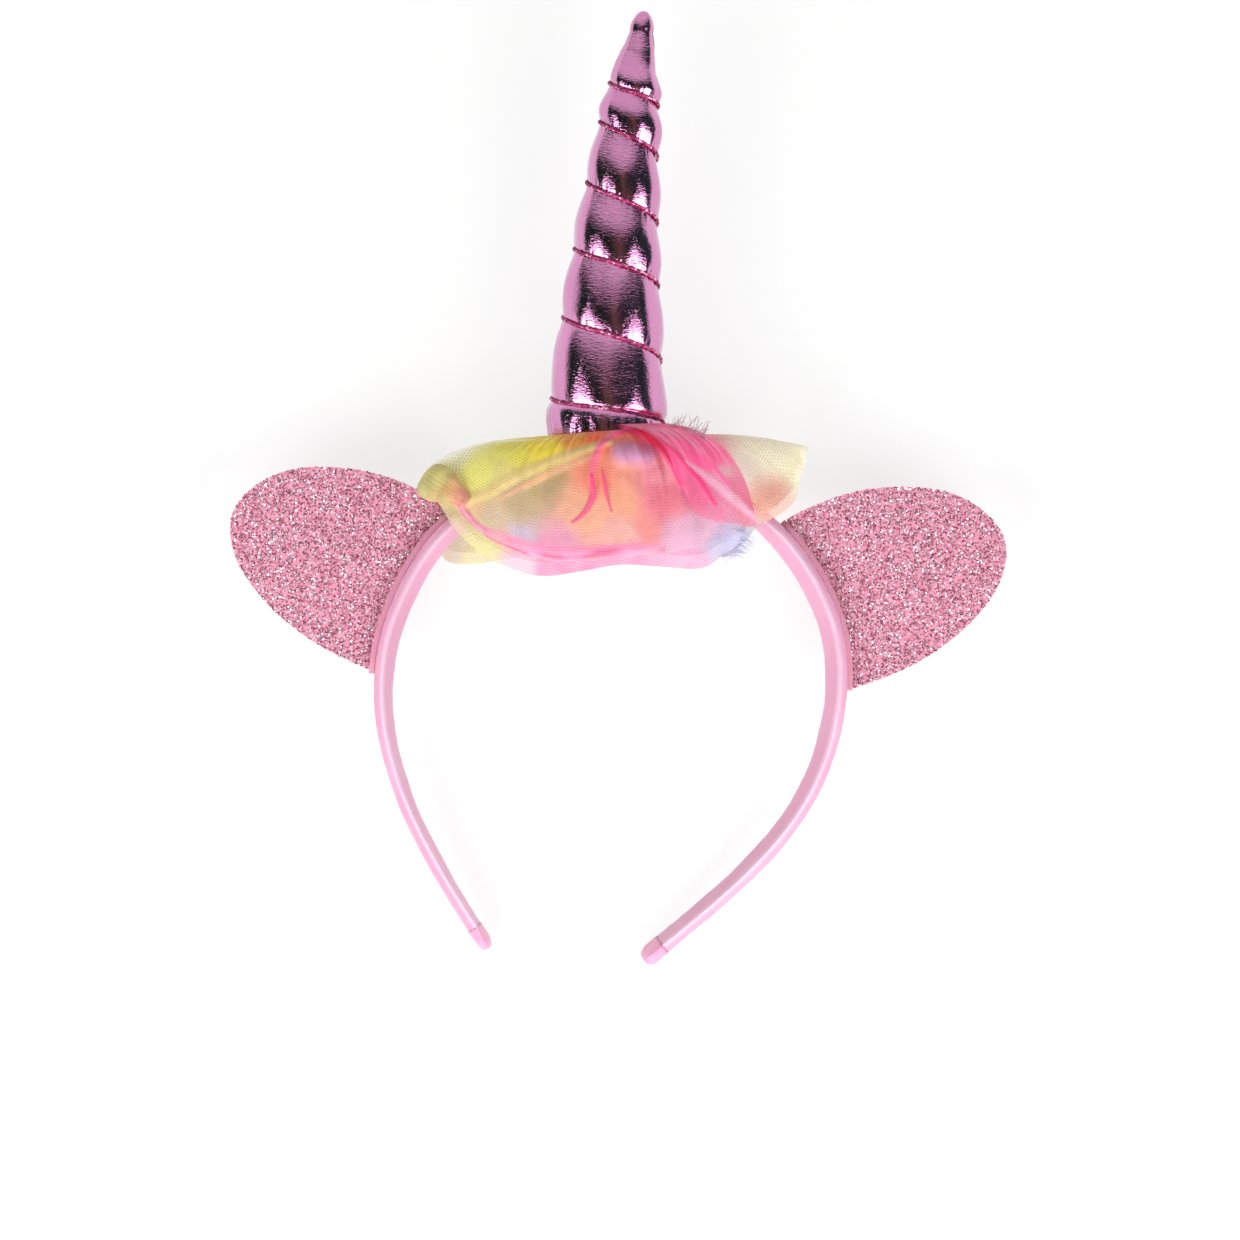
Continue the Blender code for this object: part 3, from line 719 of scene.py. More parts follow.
# dyed viscose with a metallic thread: dark and light magenta specks with a small gloss
strands, tree = new_material("magenta glitter cord")
specks = add_node(tree, "ShaderNodeTexVoronoi", {"Vector": object_place(tree), "Scale": 1500.0}, feature="F1")
speck = add_node(tree, "ShaderNodeSeparateColor", {"Color": specks.outputs["Color"]})
surfaced(tree, {
    "Base Color": ramped(tree, speck.outputs["Red"], (
        (0.0, "#8A2050"), (0.3, "#AE3A70"), (0.55, "#C85088"), (0.72, "#6A1840"), (0.86, "#F0B4CC"),
    ), "CONSTANT"),
    "Metallic": 0.5, "Roughness": 0.35,
})


def vector_maths(tree, operation, *vectors, **inputs):
    """What a Vector Math node makes of vectors, and of a scale."""
    return add_node(tree, "ShaderNodeVectorMath", {
        **dict(enumerate(vectors)), **inputs,
    }, operation=operation).outputs[0]


def tube_along(tree, curve, radius, sides):
    """A round tube along a curve, with its ends closed."""
    section = add_node(tree, "GeometryNodeCurvePrimitiveCircle", {"Resolution": sides, "Radius": radius})
    return add_node(tree, "GeometryNodeCurveToMesh", {
        "Curve": curve, "Profile Curve": section.outputs["Curve"], "Fill Caps": True,
    }).outputs["Mesh"]


twist_tree, given = grow_tree("twisted cord", "Path", (
    ("Plies", "Int", 3),
    ("Ply radius", "Float", PLY_RADIUS * MM),
    ("Ply offset", "Float", PLY_OFFSET * MM),
    ("Lay", "Float", CORD_LAY * MM),
), "Cord")
as_curve = add_node(twist_tree, "GeometryNodeMeshToCurve", {"Mesh": given["Path"]})
fine = add_node(twist_tree, "GeometryNodeResampleCurve", {
    "Curve": as_curve.outputs["Curve"], "Length": CORD_LAY * MM / 8,
}, mode="LENGTH")
plies = add_node(twist_tree, "GeometryNodeDuplicateElements", {
    "Geometry": fine.outputs["Curve"], "Amount": given["Plies"],
}, domain="SPLINE")
numbered = add_node(twist_tree, "GeometryNodeStoreNamedAttribute", {
    "Geometry": plies.outputs["Geometry"], "Name": "ply",
    "Value": maths(twist_tree, "DIVIDE", plies.outputs["Duplicate Index"], given["Plies"]),
}, data_type="FLOAT", domain="POINT")
own = add_node(twist_tree, "GeometryNodeInputNamedAttribute", {"Name": "ply"}, data_type="FLOAT")
run = add_node(twist_tree, "GeometryNodeSplineParameter")
laps = maths(twist_tree, "DIVIDE", run.outputs["Length"], given["Lay"])
angle = maths(twist_tree, "MULTIPLY", maths(twist_tree, "ADD", laps, own.outputs["Attribute"]), 2 * math.pi)
normal = add_node(twist_tree, "GeometryNodeInputNormal").outputs[0]
tangent = add_node(twist_tree, "GeometryNodeInputTangent").outputs[0]
aside = vector_maths(twist_tree, "CROSS_PRODUCT", tangent, normal)
reach = vector_maths(
    twist_tree, "ADD",
    vector_maths(twist_tree, "SCALE", normal, Scale=maths(twist_tree, "COSINE", angle)),
    vector_maths(twist_tree, "SCALE", aside, Scale=maths(twist_tree, "SINE", angle)),
)
laid = add_node(twist_tree, "GeometryNodeSetPosition", {
    "Geometry": numbered.outputs["Geometry"],
    "Offset": vector_maths(twist_tree, "SCALE", reach, Scale=given["Ply offset"]),
})
end_tree(twist_tree, tube_along(twist_tree, laid.outputs["Geometry"], given["Ply radius"], 7), strands)

path = []
for index in range(CORD_POINTS + 1):
    turns = CORD_START + (CORD_END - CORD_START) * index / CORD_POINTS
    distance = straight_value(cord_turns, turns)
    radius = straight_value(HORN_PROFILE, distance) + CORD_LIFT
    path.append(in_row(on_horn(distance, math.pi - 2 * math.pi * turns, radius)))
path_mesh = bpy.data.meshes.new("cord_path")
path_mesh.from_pydata(path, [(index, index + 1) for index in range(CORD_POINTS)], [])
cord_mesh = grown("twisted_cord", path_mesh, twist_tree)
cord_mesh.shade_smooth()
add_piece("twisted_cord", cord_mesh, strands, ["horn_cord"])


# Tulle ruffle
# Rainbow-dyed nylon net, folded double and gathered round the foot of the horn. It spreads in
# lobes to both sides, hangs over the crown in front and lies on the table behind.
RUFFLE_ROOT, RUFFLE_ROOT_UP, RUFFLE_ROOT_ACROSS, RUFFLE_ROOT_SLOPE = 18.8, 76.0, -0.8, 0.06
LAYER_STEP, LAYER_DROOP, SPOKE_BEND = 1.7, 1.2, 0.72
# where the table is under the arm ends and under the tulle, as (up, forward)
HEEL, REST = (-80.0, -5.6), (76.0, -20.6)
RUFFLE_HEM = (
    # degrees round the horn, across, up, forward, swell of the middle
    (0, 59.0, 73.4, 0.0, 0), (11, 58.2, 66.0, 4.0, 1), (19, 56.2, 59.4, 6.5, 1), (28, 51.4, 53.4, 8.5, 2),
    (38, 43.0, 48.6, 10.0, 3), (46, 39.4, 43.8, 11.5, 4), (54, 33.6, 40.6, 13.5, 5),
    (66, 26.4, 36.6, 15.5, 6), (80, 14.0, 37.2, 17.5, 7), (94, 1.6, 37.6, 18.5, 7),
    (108, -10.4, 35.4, 18.5, 7), (122, -22.0, 34.4, 17.5, 7), (134, -31.6, 37.4, 15.5, 6),
    (146, -41.0, 42.4, 13.0, 5), (158, -49.0, 52.0, 9.5, 3), (169, -54.8, 60.0, 6.0, 1),
    (178, -56.4, 64.2, 1.0, 0), (187, -56.0, 63.2, -4.0, 0), (199, -54.4, 50.4, -9.5, 1),
    (212, -52.0, 41.0, -12.0, 1), (222, -45.4, 38.2, -14.0, 1), (238, -32.0, 40.0, -20.0, 1),
    (262, -8.0, 42.0, -22.0, 1), (288, 16.0, 43.0, -22.0, 1), (314, 36.0, 47.0, -18.0, 1),
    (334, 50.0, 56.0, -11.0, 1), (348, 57.6, 66.0, -5.0, 0),
)
NET_PITCH = 0.95
# Where the rainbow's dyes lie, as they were sprayed on the roll in soft clouds
RAINBOW_DYES = (
    # across, up, reach, colour, cover
    (-45.0, 74.0, 7, "#FCF8DC", 0.60), (-39.0, 66.0, 6, "#F4F297", 0.70), (-22.0, 73.0, 6, "#F6E558", 0.92),
    (-8.0, 76.0, 4, "#F28B41", 0.98), (-55.0, 62.0, 6, "#E7D897", 0.74), (-33.0, 59.0, 5, "#DFCA95", 0.58),
    (-51.0, 44.0, 6, "#D7C7B1", 0.58), (-40.0, 41.0, 5, "#E4DDA9", 0.56), (-27.0, 37.0, 5, "#E7C2D3", 0.56),
    (-15.0, 36.0, 7, "#E09BBB", 0.72), (3.0, 38.0, 7, "#E09FBD", 0.70), (22.0, 38.0, 7, "#E3ACC8", 0.66),
    (36.0, 44.0, 5, "#C9C6E2", 0.64), (30.0, 50.0, 5, "#DAC4DA", 0.52), (48.0, 73.0, 7, "#FDF9E5", 0.62),
    (57.0, 68.0, 5, "#FBF7DE", 0.62), (38.0, 66.0, 5, "#EFE5DC", 0.46), (48.0, 57.0, 6, "#EABCAA", 0.56),
    (30.0, 70.0, 4, "#FFB3BE", 0.70),
)


def read_table(rows, key, period=None):
    """The rest of a row at a value of its first column, smooth between the rows."""
    if period:
        first, last = rows[0], rows[-1]
        rows = [(last[0] - period, *last[1:])] + list(rows) + [(first[0] + period, *first[1:])]
        key = (key - first[0]) % period + first[0]
    index = 0
    while index < len(rows) - 2 and rows[index + 1][0] <= key:
        index += 1
    share = min(max((key - rows[index][0]) / (rows[index + 1][0] - rows[index][0]), 0.0), 1.0)
    return smooth_row(rows, index + share)[1:]


def tulle_point(hems, closed, layer, degrees, out, fold, seed, puff):
    """A place on a layer of tulle, from its gathered edge at the horn, 0, to its hem, 1."""
    across, up, forward, swell = read_table(hems, degrees, 360 if closed else None)
    angle = math.radians(degrees)
    radial = Vector((math.cos(angle), 0, math.sin(angle)))
    root = radial * RUFFLE_ROOT
    root.x += RUFFLE_ROOT_ACROSS
    root.z *= HORN_FLATNESS
    root.y = RUFFLE_ROOT_UP + RUFFLE_ROOT_SLOPE * root.x + LAYER_STEP * layer
    hem = Vector((across, up, forward))
    bend = root.lerp(hem, SPOKE_BEND)
    bend.y = root.y - LAYER_DROOP * layer
    bend += radial * swell
    point = root * (1 - out) ** 2 + bend * 2 * out * (1 - out) + hem * out ** 2
    lift = Vector((0, 1, 0)).lerp(radial, 0.5 + 0.5 * abs(math.sin(angle))).normalized()
    wander = noise.noise(Vector((math.cos(angle) * 1.5, math.sin(angle) * 1.5, seed)))
    # waves of 17, 46 and 96 to the turn: soft folds, finer folds, and pleats near the horn
    wide = math.sin(angle * 17 + 5 * wander + seed) * 0.75 * out
    fine = math.sin(angle * 46 + 9 * wander + 2 * seed) * 0.28 * math.sin(math.pi * min(out * 1.2 + 0.1, 1))
    pleat = math.sin(angle * 96 + 6 * wander) * 0.14 * (1 - out)
    point += lift * (wide + fine + pleat) * fold
    point += (radial * 0.8 + Vector((0, 0.6, 0))) * puff * math.sin(math.pi * min(out + 0.05, 1))
    table = HEEL[1] + (REST[1] - HEEL[1]) * (point.y - HEEL[0]) / (REST[0] - HEEL[0])
    point.z = max(point.z, table + 0.5)
    return point


def dyed(mesh, points, dyes, covers, seed):
    """Gives each point of a tulle mesh its dye and its cover, from the clouds nearest it."""
    mesh.attributes.new("dye", "FLOAT_COLOR", "POINT")
    mesh.attributes.new("cover", "FLOAT", "POINT")
    dye, cover = mesh.attributes["dye"], mesh.attributes["cover"]
    clouds = [(across, up, reach, Vector(colour(shade)[:3]), solid)
              for across, up, reach, shade, solid in dyes]
    for index, point in enumerate(points):
        drift_x = 2.2 * noise.noise(point * 0.10 + Vector((seed, 0, 0)))
        drift_y = 2.2 * noise.noise(point * 0.10 + Vector((0, seed + 9, 0)))
        weights, mixed, solidity = 0.0, Vector((0, 0, 0)), 0.0
        for across, up, reach, shade, solid in clouds:
            gap = ((point.x + drift_x - across) ** 2 + (point.y + drift_y - up) ** 2) / reach ** 2
            weight = 1.0 / (gap + 0.06) ** 2
            weights += weight
            mixed += shade * weight
            solidity += solid * weight
        dye.data[index].color = (*(mixed / weights), 1.0)
        cover.data[index].value = solidity / weights * covers[index]


def crease_at(route, point):
    """How near a point lies to a crease, from 1 on its line to 0 at its edge and beyond."""
    nearest = 9.0
    for (x0, y0, w0), (x1, y1, w1) in zip(route, route[1:]):
        along_x, along_y = x1 - x0, y1 - y0
        share = ((point.x - x0) * along_x + (point.y - y0) * along_y) / (along_x ** 2 + along_y ** 2)
        share = min(max(share, 0.0), 1.0)
        gap = math.hypot(point.x - x0 - share * along_x, point.y - y0 - share * along_y)
        nearest = min(nearest, gap / (w0 + (w1 - w0) * share))
    return (1.0 - nearest ** 2) ** 2 if nearest < 1 else 0.0


def lengths_along(points):
    """The distance to each point along a row of points."""
    run = [0.0]
    for before, after in zip(points, points[1:]):
        run.append(run[-1] + (after - before).length)
    return run


def tulle_sheet(name, hems, closed, layer, columns, rows_out, dyes, covers,
                fold=1.0, seed=0.0, puff=0.0, outer=1.0, fade=(0.0, 0.0), creases=()):
    """A gathered layer, with its net's UV in millimetres. It thins towards a faded side."""
    start, end = hems[0][0], hems[0][0] + 360 if closed else hems[-1][0]
    rows, solid = [], []
    for column in range(columns + (0 if closed else 1)):
        share = column / columns
        degrees = start + (end - start) * share
        side = min(1.0, 0.15 + share / fade[0] if fade[0] else 1.0,
                   0.15 + (1 - share) / fade[1] if fade[1] else 1.0)
        rows.append([tulle_point(hems, closed, layer, degrees, outer * step / rows_out, fold, seed, puff)
                     for step in range(rows_out + 1)])
        solid += [side * straight_value(covers, step / rows_out) for step in range(rows_out + 1)]
    points = [point for row in rows for point in row]
    marks = [[crease_at(route, point) for route, height, shade, cover in creases] for point in points]
    for point, mark in zip(points, marks):
        point.z += sum(near * crease[1] for near, crease in zip(mark, creases))
    mesh = skin_mesh(name, rows, closed_rows=False, closed_ends=closed)
    mesh.shade_smooth()
    dyed(mesh, points, dyes, solid, seed)
    dye, cover = mesh.attributes["dye"], mesh.attributes["cover"]
    for index, mark in enumerate(marks):
        for near, (route, height, shade, crease_cover) in zip(mark, creases):
            if near:
                blend = min(near * 1.2, 1.0)
                dye.data[index].color = Vector(dye.data[index].color).lerp(Vector(colour(shade)), blend)
                cover.data[index].value += (crease_cover - cover.data[index].value) * blend
    net = mesh.uv_layers.new(name="net")
    middle = rows_out // 2
    middle_length = sum((a[middle] - b[middle]).length for a, b in zip(rows, rows[1:]))
    runs = [lengths_along(row) for row in rows]
    for polygon in mesh.polygons:
        for loop in polygon.loop_indices:
            column, step = divmod(mesh.loops[loop].vertex_index, rows_out + 1)
            lap = columns if closed and column == 0 and polygon.index >= (columns - 1) * rows_out else 0
            net.data[loop].uv = (middle_length * (column + lap) / columns, runs[column][step])
    return mesh


def tulle_material(name, ribbing):
    """Fine nylon net: matt colour with rows of small holes, through which most of what is behind
    shows. The holes are as far apart as real ones, and the threads three times as thick."""
    finish, tree = new_material(name)
    dye = add_node(tree, "ShaderNodeAttribute", attribute_name="dye").outputs["Color"]
    cover = add_node(tree, "ShaderNodeAttribute", attribute_name="cover").outputs["Fac"]
    laid = add_node(tree, "ShaderNodeUVMap", uv_map="net").outputs["UV"]
    holes = add_node(tree, "ShaderNodeTexBrick", {
        "Vector": laid, "Color1": (0, 0, 0, 1), "Color2": (0.1, 0.1, 0.1, 1), "Mortar": (1, 1, 1, 1),
        "Scale": 1.0, "Mortar Size": 0.16, "Mortar Smooth": 0.7,
        "Brick Width": NET_PITCH, "Row Height": NET_PITCH * 0.85,
    }, offset=0.5)
    threads = add_node(tree, "ShaderNodeSeparateColor", {"Color": holes.outputs["Color"]}).outputs["Red"]
    ribs = add_node(tree, "ShaderNodeTexWave", {
        "Vector": laid, "Scale": 0.32 / NET_PITCH, "Distortion": 0.8, "Detail": 1.0, "Detail Scale": 0.10,
    }, wave_type="BANDS", bands_direction="Y").outputs["Fac"]
    # how much of what is behind each place the net hides
    solid = ranged(tree, cloud_at(tree, laid, 0.30), 0.35, 0.65, 0.90, 1.10)
    loose = ranged(tree, cover, 0.45, 0.95, 0.44, 0.10)
    fabric = maths(tree, "MULTIPLY", maths(tree, "SUBTRACT", threads, 0.42), loose)
    alpha = maths(tree, "ADD", maths(tree, "MULTIPLY", cover, solid), fabric, use_clamp=True)
    # how much deeper its colour is, in ribs, in threads and in specks where it is gathered tight
    specks = ranged(tree, cloud_at(tree, laid, 1.5, 1.0), 0.50, 0.66)
    gathers = maths(tree, "MULTIPLY", specks, ranged(tree, cover, 0.94, 1.0, 0.0, 0.8))
    depth = maths(tree, "ADD", maths(tree, "MULTIPLY_ADD", ribs, ribbing, gathers),
                  maths(tree, "MULTIPLY", threads, loose), use_clamp=True)
    deeper = mixed_colour(tree, 1.0, dye, dye, blend_type="MULTIPLY")
    surfaced(tree, {
        "Base Color": mixed_colour(tree, depth, dye, deeper), "Roughness": 0.6, "Alpha": alpha,
        "Sheen Weight": 0.5, "Sheen Roughness": 0.4, "Specular IOR Level": 0.2,
    })
    return finish


rainbow = tulle_material("rainbow nylon tulle", 0.40)
under = tulle_sheet("ruffle_under", RUFFLE_HEM, True, 0, 420, 26, RAINBOW_DYES,
                    ((0.0, 1.1), (0.25, 1.0), (0.93, 0.95), (0.96, 1.3), (1.0, 1.3)), seed=1.3)
upper = tulle_sheet("ruffle_upper", RUFFLE_HEM, True, 0, 420, 26, RAINBOW_DYES,
                    ((0.0, 1.1), (0.3, 0.8), (0.93, 0.7), (0.96, 0.95), (1.0, 1.0)),
                    fold=1.1, seed=6.1, puff=1.1, outer=0.95)
for mesh, replaced in ((under, ["tulle_ruffle"]), (upper, [])):
    piece = add_piece(mesh.name, mesh, rainbow, replaced)


# Tulle overlay
# A shorter piece of the same net that hangs in front over the ruffle, peach and coral in its
# middle. A light fold of it runs from the horn down to the left lobe, whose end is doubled
# under, and its hem is rolled to a narrow hot pink edge.
OVERLAY_HEM = (
    # degrees round the horn, across, up, forward, swell of the middle
    (40, 33.0, 51.0, 18.0, 6), (54, 29.0, 45.0, 20.5, 8), (68, 20.0, 41.6, 22.5, 9),
    (82, 9.6, 40.4, 23.5, 9), (96, -2.4, 39.2, 24.5, 11), (110, -12.6, 38.4, 24.0, 11),
    (124, -22.0, 39.8, 22.5, 10), (138, -33.0, 43.8, 19.5, 9), (150, -41.6, 49.4, 16.0, 7),
    (160, -47.6, 56.4, 13.0, 5), (168, -56.0, 64.6, 9.5, 3),
)
PEACH_DYES_AND_SHADE = (
    # across, up, reach, colour, cover
    (-47.0, 73.0, 5, "#F4F2D8", 0.46), (-41.0, 66.5, 5, "#F6F299", 0.58), (-30.0, 71.0, 4, "#F4EF76", 0.64),
    (-20.0, 72.5, 4, "#F6DF4C", 0.92), (-11.0, 74.0, 3, "#EBA23F", 0.98), (-5.0, 75.5, 3, "#F47A41", 0.98),
    # the two greyish taupe clouds at (-19, 62) and (-27, 58) are painted shade below the upper fold, not dye
    (-31.0, 65.0, 3, "#EBDF97", 0.66), (-19.0, 62.0, 4, "#B6A590", 0.52), (-27.0, 58.0, 4, "#C8B79D", 0.50),
    (-27.0, 46.0, 3, "#CDC6DA", 0.60), (-35.0, 51.0, 4, "#DBCABA", 0.50), (-44.0, 57.0, 3, "#E2BE9C", 0.68),
    (-5.0, 62.0, 4, "#EF9080", 0.82), (-8.0, 53.0, 5, "#E5B092", 0.76), (3.0, 55.0, 5, "#E5A587", 0.84),
    (3.0, 46.0, 5, "#E7B2A5", 0.76), (16.0, 58.0, 5, "#DC7A8B", 0.84), (12.0, 49.0, 4, "#E4928D", 0.80),
    (-33.0, 45.0, 3, "#E0B2C1", 0.62), (-15.0, 43.0, 4, "#E2A6BD", 0.70), (5.0, 41.0, 4, "#E09FB9", 0.72),
    (22.0, 46.0, 5, "#E2B7CC", 0.60), (24.0, 60.0, 4, "#DE7596", 0.80), (15.0, 64.0, 3, "#EBA1AF", 0.80),
    (34.0, 54.0, 4, "#EEBED6", 0.55),
)
peach = tulle_material("peach nylon tulle", 0.30)
# Its folds and rolled edges, as rows of (across, up, half width)
UPPER_FOLD = ((-4.0, 70.4, 1.4), (-14.0, 66.6, 2.2), (-24.0, 61.6, 1.8), (-35.0, 56.4, 0.3))
LIGHT_FOLD = ((0.0, 74.0, 1.4), (-9.0, 71.2, 2.2), (-18.0, 68.0, 2.6), (-28.0, 63.6, 2.9), (-37.0, 59.2, 2.6),
              (-46.0, 55.0, 1.6))
HEM_ROLL = ((-49.0, 60.0, 1.2), (-45.6, 56.0, 1.7), (-42.6, 51.6, 2.0), (-38.6, 47.6, 2.2),
            (-32.4, 44.2, 2.4), (-25.0, 41.8, 2.6), (-17.0, 40.4, 2.6), (-8.0, 40.4, 2.3),
            (4.0, 41.4, 1.6), (16.0, 42.6, 0.5))
INNER_HEM = ((-40.0, 49.6, 0.9), (-32.0, 46.4, 1.1), (-23.0, 43.4, 1.2), (-12.0, 42.2, 1.1), (0.0, 42.6, 1.1),
             (14.0, 43.2, 1.0))
LEFT_LEG = ((-5.4, 60.0, 0.9), (-5.8, 63.0, 1.4), (-5.0, 68.2, 1.8), (-2.6, 73.6, 1.9), (1.6, 77.0, 1.8))
ARCH = ((1.6, 77.0, 1.8), (6.0, 78.2, 1.9), (10.6, 76.0, 1.8), (14.6, 72.0, 1.7), (18.4, 66.6, 1.6),
        (20.6, 61.0, 1.0))
PUFF = ((3.6, 70.8, 5.6), (10.6, 70.4, 5.2))
OUTER_LINE = ((-46.6, 57.0, 0.4), (-43.6, 51.6, 0.5), (-39.2, 47.0, 0.5), (-32.4, 43.2, 0.5),
              (-25.0, 40.8, 0.5), (-16.0, 39.8, 0.5), (-6.0, 40.0, 0.45), (6.0, 40.8, 0.35),
              (16.0, 42.0, 0.15))
INNER_LINE = ((-45.0, 56.4, 0.4), (-41.2, 51.2, 0.45), (-37.0, 48.0, 0.45), (-30.0, 44.8, 0.45),
              (-22.0, 42.4, 0.45), (-12.0, 41.2, 0.45), (0.0, 41.6, 0.35), (12.0, 42.4, 0.15))
OVERLAY_CREASES = (
    # route, height, colour, cover
    (UPPER_FOLD, 0.3, "#EEBE9E", 0.68), (LIGHT_FOLD, 0.6, "#EAD49A", 0.70), (HEM_ROLL, 0.8, "#F4A2C2", 0.80),
    (INNER_HEM, 0.3, "#F29CBE", 0.76), (PUFF, 2.0, "#C691B3", 0.90), (LEFT_LEG, 0.9, "#F27A98", 0.86),
    (ARCH, 0.9, "#F05C90", 0.90), (OUTER_LINE, 0.3, "#D4688F", 0.88), (INNER_LINE, 0.3, "#D87298", 0.86),
)


def laid_on(skins, place, clearance):
    """The place in front of the pieces already made, straight out of the plan from a place."""
    best = None
    outwards = (in_row((0, 0, 1)) - in_row((0, 0, 0))).normalized()
    start = in_row((place[0], place[1], 80))
    for skin in skins:
        hit, where, normal, face = skin.ray_cast(start, -outwards)
        if hit and (best is None or (where - start).length < best):
            best = (where - start).length
    forward = 80 - best / MM if best is not None else place[2]
    return Vector((place[0], place[1], forward + clearance))


def tulle_roll(name, route, dyes, finish, skins, sides=10, spans=10, ripple=0.25, seed=0.0):
    """A fold or roll of tulle over a route of (across, up, half width, half thickness)."""
    count = (len(route) - 1) * spans
    middles = [smooth_row(route, step / spans) for step in range(count + 1)]
    places = [laid_on(skins, (m[0], m[1], 15.0), m[3] * 0.55) for m in middles]
    for turn in range(3):  # evens out the steps between one layer and the next
        heights = [place.z for place in places]
        for index in range(1, count):
            places[index].z = (heights[index - 1] + heights[index] * 2 + heights[index + 1]) / 4
    rows = []
    for index, (across, up, half_width, half_thickness) in enumerate(middles):
        along = (places[min(index + 1, count)] - places[max(index - 1, 0)]).normalized()
        aside = along.cross(Vector((0, 0, 1))).normalized()
        away = aside.cross(along).normalized()
        row = []
        for side in range(sides):
            angle = 2 * math.pi * side / sides
            spot = Vector((math.cos(angle) * 2, math.sin(angle) * 2 + seed, index * 0.12))
            rough = 1 + ripple * noise.noise(spot)
            row.append(places[index] + aside * half_width * rough * math.cos(angle)
                       + away * half_thickness * rough * math.sin(angle))
        rows.append(row)
    points = [point for row in rows for point in row]
    mesh = skin_mesh(name, rows, capped=True)
    mesh.shade_smooth()
    dyed(mesh, points, dyes, [1.0] * len(points), seed)
    net = mesh.uv_layers.new(name="net")
    run = lengths_along(places)
    for loop in mesh.loops:
        row, side = divmod(loop.vertex_index, sides)
        net.data[loop.index].uv = (run[row], side * NET_PITCH)
    return add_piece(name, mesh, finish)


over = tulle_sheet("overlay_net", OVERLAY_HEM, False, 1, 320, 64, PEACH_DYES_AND_SHADE,
                   ((0.0, 1.1), (0.3, 1.0), (1.0, 1.0)), seed=2.9, fade=(0.12, 0.0), creases=OVERLAY_CREASES)
over_piece = add_piece("overlay_net", over, peach, ["tulle_overlay"])

LEFT_FOLD = (
    # across, up, half width, half thickness
    (-55.6, 64.6, 3.4, 0.9), (-54.8, 64.0, 5.0, 1.7), (-52.6, 62.4, 5.9, 2.2), (-49.4, 60.6, 5.2, 2.0),
    (-46.2, 58.6, 3.6, 1.6), (-43.0, 56.4, 1.4, 0.8),
)
LEFT_DYES = (
    (-55.0, 62.0, 3, "#C8BF83", 0.78), (-51.5, 64.5, 3, "#D8CD87", 0.74), (-48.6, 61.0, 3, "#DDB07E", 0.78),
    (-50.5, 58.0, 3, "#CBB481", 0.75), (-44.0, 57.0, 4, "#DD9C88", 0.75),
)
skins = [bpy.data.objects["overlay_net"], bpy.data.objects["ruffle_upper"]]
tulle_roll("left_fold", LEFT_FOLD, LEFT_DYES, peach, skins, sides=24, seed=3.0)


# Tulle flap
# A bright pink strip folded down from the foot of the horn to the right, over the overlay. It
# loops over a small lilac puff and ends in two thin tails.
FLAP_HEM = (
    # degrees round the horn, across, up, forward, swell of the middle
    (4, 30.0, 68.6, 13.0, 3), (12, 35.0, 61.0, 15.0, 4), (22, 43.6, 50.0, 17.0, 4), (34, 37.4, 49.6, 20.5, 8),
    (46, 31.4, 50.4, 23.5, 10), (58, 25.8, 52.2, 26.5, 12), (70, 21.6, 58.6, 29.5, 13),
    (82, 18.4, 66.0, 31.0, 13),
)
HOT_PINK_DYES = (
    # across, up, reach, colour, cover
    (6.0, 78.0, 5, "#F54987", 0.95), (14.0, 75.0, 6, "#FF5196", 0.93), (27.0, 69.0, 6, "#FF68A4", 0.90),
    (36.0, 60.0, 5, "#EA75A3", 0.66), (24.0, 61.0, 5, "#E86F9D", 0.80), (24.0, 53.0, 4, "#E47398", 0.76),
    (43.0, 50.0, 3, "#E87398", 0.84), (12.0, 64.0, 4, "#EA96AB", 0.55), (33.0, 65.0, 3, "#EFBCC8", 0.50),
    (30.0, 52.0, 3, "#E66F98", 0.84),
)
UPPER_CREASE = ((6.0, 79.0, 1.4), (15.0, 77.4, 1.6), (24.0, 73.0, 1.6), (30.0, 67.4, 1.4), (35.0, 61.0, 1.0))
LOWER_CREASE = ((10.0, 78.0, 1.0), (19.0, 71.0, 1.4), (26.0, 62.6, 1.4), (31.0, 55.4, 1.0))
PALE_CREASE = ((22.0, 68.0, 0.4), (29.0, 63.2, 2.0), (37.0, 56.8, 2.4), (45.0, 49.8, 1.0))
FLAP_CREASES = (
    (ARCH, 0.9, "#EE4C86", 0.94), (UPPER_CREASE, 0.7, "#F66AA0", 0.92), (LOWER_CREASE, 0.6, "#E83A7C", 0.92),
    (PALE_CREASE, 0.3, "#F8C0DA", 0.62),
)
hot_pink = tulle_material("hot pink nylon tulle", 0.20)
flap = tulle_sheet("flap_net", FLAP_HEM, False, 2, 170, 60, HOT_PINK_DYES,
                   ((0.0, 1.1), (0.5, 1.0), (0.8, 0.9), (0.95, 0.7), (1.0, 0.6)),
                   fold=0.6, seed=4.2, fade=(0.16, 0.06), creases=FLAP_CREASES)
flap_piece = add_piece("flap_net", flap, hot_pink, ["tulle_flap"])

TAILS = (
    # name, seed, route of (across, up, half width, half thickness)
    ("long_tail", 6.0, ((-5.6, 64.0, 0.5, 0.25), (-5.2, 58.6, 0.95, 0.5), (-6.6, 54.6, 0.85, 0.45),
                        (-8.8, 51.8, 0.6, 0.35), (-11.8, 49.8, 0.25, 0.2))),
    ("short_tail", 7.0, ((-2.6, 66.0, 0.15, 0.1), (-1.8, 61.6, 0.5, 0.3), (-1.0, 57.4, 0.42, 0.26),
                         (0.2, 53.0, 0.2, 0.16))),
)
TAIL_DYES = (
    (-4.0, 64.0, 6, "#EE5480", 0.95), (-9.0, 51.0, 5, "#F0688C", 0.9), (0.0, 56.0, 4, "#EE6088", 0.9),
)
skins = [bpy.data.objects[name] for name in ("flap_net", "overlay_net", "ruffle_upper")]
for name, seed, route in TAILS:
    tulle_roll(name, route, TAIL_DYES, hot_pink, skins, seed=seed)

